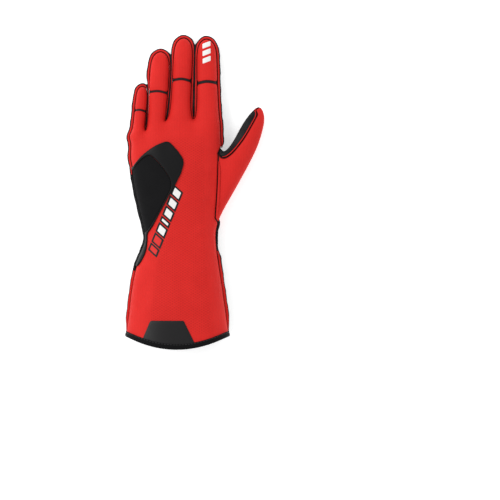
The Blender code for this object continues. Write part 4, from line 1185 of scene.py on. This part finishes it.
def thread_finish():
    """Bonded polyester thread: black, smooth and a little shiny, with its twist as fine slanting lines."""
    made, tree, shader = new_finish("bonded_thread", "#1d1d1e", 0.4, Specular_IOR_Level=0.4)
    place = add_node(tree, "ShaderNodeTexCoord").outputs["Object"]
    twist = add_node(tree, "ShaderNodeTexWave", {"Vector": place, "Scale": 500.0}, bands_direction="DIAGONAL")
    emboss(tree, shader, twist.outputs["Fac"], 0.3, 0.0001)
    return made


def stitches(run, spot, along, away, down):
    """Stitches at an even pitch along a line: each is four rings of five points, thin and sunk at its ends."""
    at = np.arange(STITCH_PITCH, run[-1] - STITCH_PITCH, STITCH_PITCH)
    middle, ahead, out, below = (np.stack([np.interp(at, run, v[:, k]) for k in range(3)], axis=1)[:, None, None]
                                 for v in (spot, along, away, down))
    turn = np.linspace(0, 2 * math.pi, 5, endpoint=False)[None, None, :, None]
    travel = np.array((-0.5, -0.32, 0.32, 0.5))[None, :, None, None] * STITCH_LENGTH
    size = np.array((0.35, 1.0, 1.0, 0.35))[None, :, None, None] * THREAD_RADIUS
    height = np.array((-0.25, 0.1, 0.1, -0.25))[None, :, None, None] + STITCH_LIFT
    points = middle + ahead * travel + out * (height + size * np.cos(turn))
    points = points + below * (STITCH_ROW - size * np.sin(turn))
    one = swept(np.zeros((4, 5, 3)))[1]
    faces = [[corner + 20 * n for corner in face] for n in range(len(at)) for face in one]
    return points.reshape(-1, 3), faces


points, faces = stitches(run, form[loop], along, away, down)
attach(put_piece("hem_stitches", points, faces, (thread_finish(),)), "root")


# The patch on the back is neoprene, and round it lies a frame of moulded rubber that is thickest at the corner
# towards the knuckles. Both are glued and sewn on, and both run into the little finger's side seam.
FRAME_OUTER = (
    # across, along
    (-1.20, 0.50), (-1.00, 0.53), (-0.90, 0.60), (-0.775, 0.665), (-0.61, 0.725), (-0.41, 0.78),
    (-0.22, 0.812), (-0.12, 0.808), (0.065, 0.72), (0.18, 0.645), (0.20, 0.592), (0.14, 0.494), (0.02, 0.387),
    (-0.14, 0.262), (-0.345, 0.10), (-0.50, -0.03), (-0.630, -0.110), (-0.628, -0.170), (-0.640, -0.240),
    (-0.680, -0.310), (-0.765, -0.385), (-0.862, -0.440), (-1.264, -0.490),
)
FRAME_INNER = (
    # across, along
    (-1.20, 0.47), (-0.98, 0.515), (-0.87, 0.585), (-0.735, 0.645), (-0.61, 0.677), (-0.53, 0.672),
    (-0.385, 0.61), (-0.22, 0.52), (-0.095, 0.432), (-0.075, 0.385), (-0.105, 0.325), (-0.225, 0.226),
    (-0.365, 0.11), (-0.51, 0.00), (-0.63, -0.09), (-1.20, -0.14),
)

# Places round the hand are counted in steps about an axis at this height, up to this many at the side seam. What
# lies past the seam stops at a share of them, and a margin before the seam the outline's own place counts.
AXIS_HEIGHT = 15.0
SIDE_STEPS = 46.0
LAST_STEP = -0.975 * SIDE_STEPS
SEAM_MARGIN = 1.2
PAST_SEAM_X = -60.0

# Rays to the back and to the palm start at this height, inside the glove.
INSIDE_Z = 12.0


def hand_place(shares):
    """Places on the hand, from shares of its width on that side and of the palm's length."""
    shares = np.array(shares, float)
    width = np.where(shares[:, :1] > 0, PALM_THUMB_SIDE, PALM_LITTLE_SIDE)
    return np.concatenate([shares[:, :1] * width, WRIST_SEAM_Y + shares[:, 1:] * PALM_LENGTH], axis=1)


def resampled(line, step):
    """A closed outline as points at even steps along it."""
    closed = np.concatenate([line, line[:1]])
    run = np.concatenate([[0], np.cumsum(np.linalg.norm(np.diff(closed, axis=0), axis=1))])
    spots = np.linspace(0, run[-1], max(12, int(run[-1] / step)), endpoint=False)
    return np.stack([np.interp(spots, run, closed[:, 0]), np.interp(spots, run, closed[:, 1])], axis=1)


def rounded(outline, radius, step=0.8):
    """An outline, counter-clockwise, with each corner eased by a parabola that leaves its sides a radius away."""
    here = np.array(outline, float)
    area = (here[:, 0] * np.roll(here[:, 1], -1) - np.roll(here[:, 0], -1) * here[:, 1]).sum()
    here = here if area > 0 else here[::-1]
    to_before, to_after = np.roll(here, 1, axis=0) - here, np.roll(here, -1, axis=0) - here
    size_before = np.linalg.norm(to_before, axis=1, keepdims=True)
    size_after = np.linalg.norm(to_after, axis=1, keepdims=True)
    start = here + to_before / size_before * np.minimum(radius, 0.45 * size_before)
    end = here + to_after / size_after * np.minimum(radius, 0.45 * size_after)
    t = np.linspace(0, 1, 7)[:, None, None]
    arcs = (1 - t) ** 2 * start + 2 * t * (1 - t) * here + t ** 2 * end
    return resampled(arcs.transpose(1, 0, 2).reshape(-1, 2), step)


def drawn_in(line, gap):
    """A closed outline moved inwards by a gap, square to the chord between each point's neighbours."""
    along = np.roll(line, -1, axis=0) - np.roll(line, 1, axis=0)
    return line + units(np.stack([-along[:, 1], along[:, 0]], axis=1)) * gap


def inside_of(line, spots):
    """Which spots lie inside a closed outline, by counting its crossings to their right."""
    x0, y0 = line.T
    x1, y1 = np.roll(line, -1, axis=0).T
    x, y = spots[:, :1], spots[:, 1:]
    level = np.where(y1 == y0, 1e-9, y1 - y0)
    crosses = ((y0 > y) != (y1 > y)) & (x < x0 + (y - y0) / level * (x1 - x0))
    return crosses.sum(axis=1) % 2 == 1


def filled(line, spacing):
    """Triangles that fill a closed outline, over its own points and a grid of points inside it."""
    low, high = line.min(axis=0), line.max(axis=0)
    grid = np.stack(np.meshgrid(np.arange(low[0], high[0], spacing), np.arange(low[1], high[1], spacing)), axis=2)
    grid = grid.reshape(-1, 2) + spacing * 0.37
    grid = grid[inside_of(line, grid)]
    if len(grid):
        grid = grid[distance_to_lines(grid, line, np.roll(line, -1, axis=0)) > 0.55 * spacing]
    spots = np.concatenate([line, grid])
    edges = [(k, (k + 1) % len(line)) for k in range(len(line))]
    made = delaunay_2d_cdt([Vector(s) for s in spots.tolist()], edges, [], 1, 1e-7)
    source = [ids[0] if ids else -1 for ids in made[3]]
    tris = np.array([[source[c] for c in face] for face in made[2]])
    tris = tris[(tris >= 0).all(axis=1)]
    centre = spots[tris].mean(axis=1)
    return spots, tris[inside_of(line, centre)]


def landed(starts, aims):
    """Where rays from inside the glove leave its cloth: the points, and the smooth outward directions there."""
    hits = [outer_tree.ray_cast(Vector(s), Vector(a)) for s, a in zip(starts, aims)]
    hits = [hit if hit[0] else outer_tree.find_nearest(Vector(s + 10 * a)) for hit, s, a in zip(hits, starts, aims)]
    spot = np.array([hit[0] for hit in hits])
    corner = form_tris[[hit[2] for hit in hits]]
    a, b, c = outer[corner[:, 0]], outer[corner[:, 1]], outer[corner[:, 2]]
    square = np.cross(b - a, c - a)
    share = [(np.cross(v - spot, w - spot) * square).sum(axis=1) for v, w in ((b, c), (c, a), (a, b))]
    share = np.stack(share, axis=1)
    share = np.clip(share, 0, None) / np.clip(share, 1e-12, None).sum(axis=1, keepdims=True)
    return spot, units((form_away[corner] * share[..., None]).sum(axis=1))


def rays_up(flat):
    """Rays straight up to the back, one through each place."""
    return np.column_stack([flat, np.full(len(flat), INSIDE_Z)]), np.tile((0.0, 0.0, 1.0), (len(flat), 1))


side_seam = form[long_chain]
side_seam = side_seam[(side_seam[:, 0] < -15) & (side_seam[:, 1] < 100)]
side_seam = side_seam[side_seam[:, 1].argsort()]


def side_angle(y):
    """The angle round the hand's axis at which the little finger's side seam lies, at each height up the hand."""
    angle = np.arctan2(side_seam[:, 0], side_seam[:, 2] - AXIS_HEIGHT)
    return np.interp(y, side_seam[:, 1], np.abs(angle))


def rays_round(flat):
    """Rays out from the hand's axis. The first number of a place is its step round the hand."""
    angle = flat[:, 0] / SIDE_STEPS * side_angle(flat[:, 1])
    starts = np.column_stack([np.zeros(len(flat)), flat[:, 1], np.full(len(flat), AXIS_HEIGHT)])
    return starts, np.column_stack([np.sin(angle), np.zeros(len(flat)), np.cos(angle)])


def round_hand(line):
    """An outline seen from above, as places for rays_round. What lies past the seam stops just short of it."""
    limit = np.interp(line[:, 1], side_seam[:, 1], side_seam[:, 0]) + SEAM_MARGIN
    kept = np.column_stack([np.maximum(line[:, 0], limit), line[:, 1]])
    spot, _ = landed(*rays_up(kept))
    angle = np.arctan2(spot[:, 0], spot[:, 2] - AXIS_HEIGHT)
    steps = angle / side_angle(line[:, 1]) * SIDE_STEPS
    steps = np.where(line[:, 0] < limit, LAST_STEP, steps)
    return resampled(np.column_stack([steps, line[:, 1]]), 0.9)


def laid_pad(line, rays, low, high, bevel, spacing=2.0, under=False):
    """A pad that follows the cloth under it: its outline at two depths, an eased shoulder, and a filled top.

    Each place is a ray's landing point moved out by the pad's height there, from low to high. The shoulder is as
    wide as the bevel, and under turns the faces over for a pad on the palm. Returns the points and the faces.
    """
    size = len(line)
    top, tris = filled(drawn_in(line, bevel), spacing)
    shoulder = drawn_in(line, 0.3 * bevel)
    deep = min(bevel, 0.7 * (high - low))
    flat = np.concatenate([top, shoulder, line, line, top])
    rise = np.repeat((high, high - 0.3 * deep, high - deep, low, low), (len(top), size, size, size, len(top)))
    spot, away = landed(*rays(flat))
    first = np.cumsum((0, len(top), size, size, size))
    k, after = np.arange(size), (np.arange(size) + 1) % size
    bands = [np.stack([outside + k, outside + after, inside + after, inside + k], axis=1)
             for inside, outside in ((first[0], first[1]), (first[1], first[2]), (first[2], first[3]))]
    bands.append(np.stack([first[4] + k, first[4] + after, first[3] + after, first[3] + k], axis=1))
    faces = tris.tolist() + (tris[:, ::-1] + first[4]).tolist() + np.concatenate(bands).tolist()
    if under:
        faces = [face[::-1] for face in faces]
    return spot + away * rise[:, None], faces


def cells(tree, scale, randomness):
    """A pattern of round cells over the piece, as each point's distance from the middle of its cell."""
    place = add_node(tree, "ShaderNodeTexCoord").outputs["Object"]
    return add_node(tree, "ShaderNodeTexVoronoi", {"Vector": place, "Scale": scale,
                                                   "Randomness": randomness}).outputs["Distance"]


def neoprene_finish():
    """Neoprene faced with fine nylon jersey: matt black, slightly cool, with a faint even stipple."""
    made, tree, shader = new_finish("neoprene", "#141415", 0.75, Specular_IOR_Level=0.06)
    colour = toned(tree, noise(tree, 50.0, 2.0)["Fac"], "#121213", "#181819")
    tree.links.new(colour, shader.inputs["Base Color"])
    # The stipple is 0.7 mm across on the real sheet, and 1.3 mm here, so that the render can show it.
    emboss(tree, shader, cells(tree, 770.0, 0.35), 0.35, 0.0003)
    return made


def rubber_finish():
    """Moulded rubber: near black, satin, with a fine stipple from the mould that breaks up its highlights."""
    made, tree, shader = new_finish("moulded_rubber", "#0e0e0f", 0.42, Specular_IOR_Level=0.14)
    stipple = noise(tree, 600.0, 2.0)["Fac"]
    tree.links.new(ranged(tree, stipple, 0.0, 1.0, 0.36, 0.5), shader.inputs["Roughness"])
    emboss(tree, shader, stipple, 0.2, 0.0002)
    return made


frame_outline = rounded(np.concatenate([hand_place(FRAME_OUTER), hand_place(FRAME_INNER)[::-1]]), 2.5)
points, faces = laid_pad(round_hand(frame_outline), rays_round, low=-0.1, high=1.6, bevel=0.7, spacing=1.8)
piece = put_piece("rubber_frame", points, faces, (rubber_finish(),))
dress(piece, "black_rubber", "patch_frame")

inner = hand_place(FRAME_INNER)
past_seam = [(PAST_SEAM_X, inner[-1, 1]), (PAST_SEAM_X, inner[0, 1])]
patch_outline = drawn_in(round_hand(rounded(np.concatenate([inner, past_seam]), 2.0)), 0.15)
points, faces = laid_pad(patch_outline, rays_round, low=-0.1, high=1.0, bevel=0.3)
piece = put_piece("neoprene_patch", points, faces, (neoprene_finish(),))
dress(piece, "black_neoprene", "back_patch")


# The label at the hem is a wide trapezium of thin polyurethane film, bare here. It is welded onto the cuff, and its
# long side is tucked under the tape.
LABEL_TUCK = 0.9

# Each corner across the cuff and up from the tape, and 1 where the outline follows the hem's dip.
LABEL_OUTLINE = ((-31.8, 0.0, 1), (-16.0, 0.0, 1), (0.0, 0.0, 1), (20.3, 0.0, 1), (9.1, 11.2, 0), (-24.0, 11.2, 0))


def film_finish():
    """Polyurethane film: black and smooth, a soft gloss with faint cloudiness where it was welded."""
    made, tree, shader = new_finish("polyurethane_film", "#161516", 0.4, Specular_IOR_Level=0.22)
    rough = ranged(tree, noise(tree, 220.0, 3.0)["Fac"], 0.0, 1.0, 0.32, 0.5)
    tree.links.new(rough, shader.inputs["Roughness"])
    return made


sag = [HEM_DIP * (1 - (2 * (x + HEM_LITTLE_SIDE) / (HEM_LITTLE_SIDE + HEM_THUMB_SIDE) - 1) ** 2) * hem
       for x, _, hem in LABEL_OUTLINE]
low_edge = WRIST_SEAM_Y - CUFF_LENGTH + BINDING_DEPTH - LABEL_TUCK
label_outline = rounded([(x, low_edge + up - s) for (x, up, _), s in zip(LABEL_OUTLINE, sag)], 1.2)
points, faces = laid_pad(label_outline, rays_up, low=-0.1, high=0.8, bevel=0.35)
piece = put_piece("hem_label", points, faces, (film_finish(),))
dress(piece, "label_film", "cuff_label")


# The grips are pads of grey silicone printed thick onto the suede: eleven under the palm, four under each finger
# and three under the thumb. Each has a soft shoulder, because the silicone settles before it sets.

# The grips under the palm, as shares of the hand's width on that side and of the palm's length.
PALM_GRIPS = (
    # name, corners as (across, along)
    ("palm_grip_little", ((-0.86, 0.79), (-0.66, 0.85), (-0.52, 0.80), (-0.70, 0.745))),
    ("palm_grip_ring", ((-0.69, 0.73), (-0.455, 0.77), (-0.36, 0.70), (-0.25, 0.79), (-0.055, 0.80), (0.05, 0.73),
                        (0.03, 0.66), (-0.36, 0.636))),
    ("palm_grip_middle", ((0.08, 0.69), (0.16, 0.82), (0.35, 0.855), (0.575, 0.752), (0.09, 0.665))),
    ("palm_grip_index", ((0.56, 0.78), (0.68, 0.89), (0.86, 0.91), (0.90, 0.84), (0.80, 0.79), (0.58, 0.748))),
    ("heel_grip_side", ((-0.86, 0.70), (-0.66, 0.47), (-0.74, 0.335), (-0.86, 0.325))),
    ("heel_grip_corner", ((-0.77, 0.32), (-0.85, 0.28), (-0.79, 0.215))),
    ("heel_grip_outer", ((-0.72, 0.325), (-0.61, 0.337), (-0.635, 0.222), (-0.42, 0.074), (-0.67, 0.07),
                         (-0.77, 0.19))),
    ("heel_grip_small", ((0.21, 0.473), (0.48, 0.441), (0.135, 0.329))),
    ("heel_grip_inner", ((0.17, 0.293), (0.58, 0.425), (0.84, 0.421), (0.45, 0.166), (0.26, 0.182), (0.32, 0.106),
                         (0.23, 0.034), (-0.08, 0.066), (0.085, 0.158))),
    ("web_grip_lower", ((0.30, 0.497), (0.50, 0.525), (0.72, 0.501), (0.88, 0.473), (0.70, 0.457))),
    ("web_grip_upper", ((0.67, 0.533), (0.86, 0.57), (0.90, 0.50), (0.80, 0.493))),
)

# The grips under each finger, as shares of half its width and of its length.
FINGER_GRIPS = (
    # name, corners as (across, along)
    ("root_grip", ((-0.60, -0.06), (0.10, 0.04), (0.56, -0.03), (-0.05, -0.12))),
    ("low_grip", ((-0.62, 0.36), (0.62, 0.17), (-0.50, 0.06))),
    ("high_grip", ((0.62, 0.76), (0.62, 0.60), (-0.60, 0.63))),
    ("tip_grip", ((-0.32, 0.93), (0.34, 0.93), (0.62, 0.81), (-0.62, 0.79))),
)

# The grips under the thumb, as shares of its width and of its length.
THUMB_GRIPS = (
    # name, corners as (across, along)
    ("thumb_grip_low", ((-0.10, 0.50), (0.24, 0.56), (-0.08, 0.66))),
    ("thumb_grip_middle", ((-0.06, 0.70), (0.26, 0.61), (0.24, 0.78), (0.02, 0.80))),
    ("thumb_grip_tip", ((0.0, 0.84), (0.24, 0.82), (0.18, 0.93), (0.04, 0.93))),
)

GRIP_RISE = 0.9
GRIP_SHOULDER = 0.7

# How far from a corner its rounding begins, and the same for pads with three or four corners.
CORNER_EASE = 2.0
SMALL_CORNER_EASE = 1.5


def silicone_finish():
    """Printed silicone: mid grey and satin, a little uneven in tone, with a shallow pebble from the screen."""
    made, tree, shader = new_finish("printed_silicone", "#777877", 0.48, Specular_IOR_Level=0.3, IOR=1.43)
    colour = toned(tree, noise(tree, 90.0, 3.0)["Fac"], "#6a6b6a", "#868786")
    tree.links.new(colour, shader.inputs["Base Color"])
    emboss(tree, shader, cells(tree, 650.0, 0.6), 0.25, 0.0003)
    return made


def finger_frame(row):
    """A finger's root, the direction along it and the direction across it, seen from above."""
    root, forward, length = finger_axis(row, knuckle_line())
    return root[:2], forward[:2] * length, np.array((forward[1], -forward[0])) * row[2] / 2


def thumb_frame():
    """The same for the thumb, across it by its whole width."""
    base = thumb_base(hand_ring(SECTIONS[5]), hand_ring(SECTIONS[7]))
    forward = np.array((math.sin(THUMB_SPLAY), math.cos(THUMB_SPLAY)))
    return base[:2], forward * THUMB_LENGTH, np.array((forward[1], -forward[0])) * THUMB_WIDTH


def placed(digit, shares):
    """Places on a digit from shares of its width and of its length."""
    root, along, across = digit
    shares = np.array(shares)
    return root + shares[:, 1:] * along + shares[:, :1] * across


def rays_down(flat):
    """Rays straight down to the palm, one through each place."""
    return np.column_stack([flat, np.full(len(flat), INSIDE_Z)]), np.tile((0.0, 0.0, -1.0), (len(flat), 1))


silicone = silicone_finish()
grips = [(name, hand_place(outline)) for name, outline in PALM_GRIPS]
for row in FINGERS:
    grips += [(row[0] + "_" + name, placed(finger_frame(row), outline)) for name, outline in FINGER_GRIPS]
grips += [(name, placed(thumb_frame(), outline)) for name, outline in THUMB_GRIPS]
for name, outline in grips:
    line = rounded(outline, CORNER_EASE if len(outline) > 4 else SMALL_CORNER_EASE, step=0.7)
    points, faces = laid_pad(line, rays_down, low=-0.15, high=GRIP_RISE, bevel=GRIP_SHOULDER, spacing=1.8, under=True)
    points[:, 2] = np.maximum(points[:, 2], 0.0)
    piece = put_piece("silicone_" + name, points, faces, (silicone,))
    dress(piece, "grey_silicone", name)


# White, black and red marks are screen printed on the cloth in thick plastisol ink, and here they are plain: a row of
# slanted bars down the back beside the patch, three on the index fingertip, and chevrons and strokes underneath.
def ink_finish(name, colour, dusty):
    """Plastisol ink: flat and opaque with a soft gloss, and slightly uneven where the cloth's grain shows through."""
    made, tree, shader = new_finish(name, colour, 0.5, Specular_IOR_Level=0.2)
    grain = noise(tree, 800.0, 3.0)["Fac"]
    tree.links.new(toned(tree, grain, dusty, colour), shader.inputs["Base Color"])
    emboss(tree, shader, grain, 0.3, 0.0002)
    return made


def bar(middle, along, long, wide, lean):
    """A parallelogram: its middle, its direction, its length and width, and how far its ends lean."""
    ahead = np.array((math.cos(along), math.sin(along)))
    side = np.array((-ahead[1], ahead[0]))
    corners = ((-1, -1), (1, -1), (1, 1), (-1, 1))
    return np.array([middle + ahead * (a * long / 2 + b * lean / 2) + side * b * wide / 2 for a, b in corners])


def printed(name, outlines, rays, finish, rise, under=False):
    """Marks as one thin piece, each laid on the cloth like a pad."""
    points, faces, first = [], [], 0
    for outline in outlines:
        spots, flat = laid_pad(rounded(outline, 0.5, step=0.6), rays, low=-0.1, high=rise, bevel=0.1, spacing=1.6,
                               under=under)
        faces += [[c + first for c in face] for face in flat]
        points.append(spots)
        first += len(spots)
    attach(put_piece(name, np.concatenate(points), faces, (finish,)), "root")


white_ink = ink_finish("white_plastisol_ink", "#f1f1ef", "#dcdcda")
black_ink = ink_finish("black_plastisol_ink", "#121213", "#1c1c1e")
red_ink = ink_finish("red_plastisol_ink", "#d92a26", "#c92420")

# The row down the back: how far along it each bar's middle is, and the bar's length, from the top end.
ROW_TOP, ROW_END = np.array((4.2, 43.1)), np.array((-23.4, -24.8))
BACK_BARS = ((6.0, 8.0), (17.0, 8.0), (28.0, 8.0), (37.0, 3.6), (46.0, 8.0), (57.0, 8.0), (67.0, 6.0))
way = ROW_END - ROW_TOP
turn = math.atan2(way[1], way[0])
ahead = way / np.linalg.norm(way)
spots = [(ROW_TOP + ahead * at, long) for at, long in BACK_BARS]
outer_bars = [bar(middle, turn, long + 2.2, wide=11.4, lean=4.0) for middle, long in spots]
inner_bars = [bar(middle, turn, long - 1.2, wide=7.6, lean=2.8) for middle, long in spots]
printed("back_bars_black", outer_bars, rays_up, black_ink, 0.12)
printed("back_bars_white", inner_bars[:-2], rays_up, white_ink, 0.28)
printed("back_bars_red", inner_bars[-2:], rays_up, red_ink, 0.28)

index = finger_frame(FINGERS[3])
tip_bars = [placed(index, ((-0.42, at), (0.40, at + 0.035), (0.40, at + 0.095), (-0.42, at + 0.06)))
            for at in (0.70, 0.79, 0.88)]
printed("index_bars_white", tip_bars, rays_up, white_ink, 0.2)


def chevron(x, y, span, drop, stroke):
    """A chevron that points to the fingers: its apex, how far its arms reach and fall, and its thickness."""
    return np.array(((x, y), (x - span, y - drop), (x - span, y - drop - stroke), (x, y - stroke),
                     (x + span, y - drop - stroke), (x + span, y - drop)))


# Under the palm there are three chevrons between the pads, and on each finger but the little one three strokes.
PALM_CHEVRONS = ((-10.0, 65.0, 17.0, 9.0, 4.6), (-10.0, 53.5, 14.0, 8.0, 4.2), (-9.5, 42.5, 11.0, 7.0, 3.8))
printed("palm_chevrons", [chevron(*row) for row in PALM_CHEVRONS], rays_down, white_ink, 0.25, under=True)
strokes = [placed(finger_frame(row), ((x - 0.13, 0.40), (x + 0.13, 0.40), (x + 0.36, 0.585), (x + 0.26, 0.585)))
           for row in FINGERS[1:] for x in (-0.55, -0.18, 0.19)]
printed("finger_strokes", strokes, rays_down, white_ink, 0.25, under=True)


# The studio: a pale seamless floor, one large soft light above and to the left, a weaker one opposite, and an even
# white surround. The camera looks straight down with the photograph's frame, one pixel to a millimetre.
FLOOR_Z = -0.0002
floor_mesh = bpy.data.meshes.new("studio_floor")
span = np.linspace(-2.0, 2.0, 5)
grid = np.stack(np.meshgrid(span, span), axis=2).reshape(-1, 2)
cells = [(r * 5 + c, r * 5 + c + 1, r * 5 + c + 6, r * 5 + c + 5) for r in range(4) for c in range(4)]
floor_mesh.from_pydata(np.column_stack([grid, np.full(25, FLOOR_Z)]).tolist(), [], cells)
# The paper is lit through from below as well, as on a light table, so that shadows on it stay pale.
paper, _, shader = new_finish("studio_paper", "#ffffff", 0.9, Specular_IOR_Level=0.1, Emission_Strength=0.45)
shader.inputs["Emission Color"].default_value = linear("#ffffff")
floor_mesh.materials.append(paper)
floor = bpy.data.objects.new("studio_floor", floor_mesh)
bpy.context.scene.collection.objects.link(floor)

world = bpy.data.worlds.new("studio_surround")
world.use_nodes = True
world.node_tree.nodes["Background"].inputs["Color"].default_value = linear("#ffffff")
world.node_tree.nodes["Background"].inputs["Strength"].default_value = 0.7
bpy.context.scene.world = world


def soft_light(name, place, size, power):
    """A square soft light at a place, turned to face the glove's middle."""
    lamp = bpy.data.lights.new(name, "AREA")
    lamp.size, lamp.energy = size, power
    made = bpy.data.objects.new(name, lamp)
    bpy.context.scene.collection.objects.link(made)
    made.location = place
    made.rotation_euler = (-Vector(place)).to_track_quat("-Z", "Y").to_euler()


soft_light("key_light", (-1.0, 0.5, 1.1), size=1.0, power=13.0)
soft_light("fill_light", (0.9, -0.5, 1.1), size=1.2, power=3.0)

# The lens is long, so that the glove's height draws hardly any perspective. The frame is this wide at its middle.
FRAME_WIDTH = 0.5
GLOVE_MIDDLE_Z = 0.027
camera = bpy.data.cameras.new("camera")
camera.lens, camera.sensor_width = 250.0, 36.0
camera.clip_end = 20.0
camera_stand = bpy.data.objects.new("camera", camera)
camera_stand.location = (0.055688, -0.058049, GLOVE_MIDDLE_Z + FRAME_WIDTH * camera.lens / camera.sensor_width)
bpy.context.scene.collection.objects.link(camera_stand)
bpy.context.scene.camera = camera_stand
bpy.context.scene.view_settings.view_transform = "Standard"
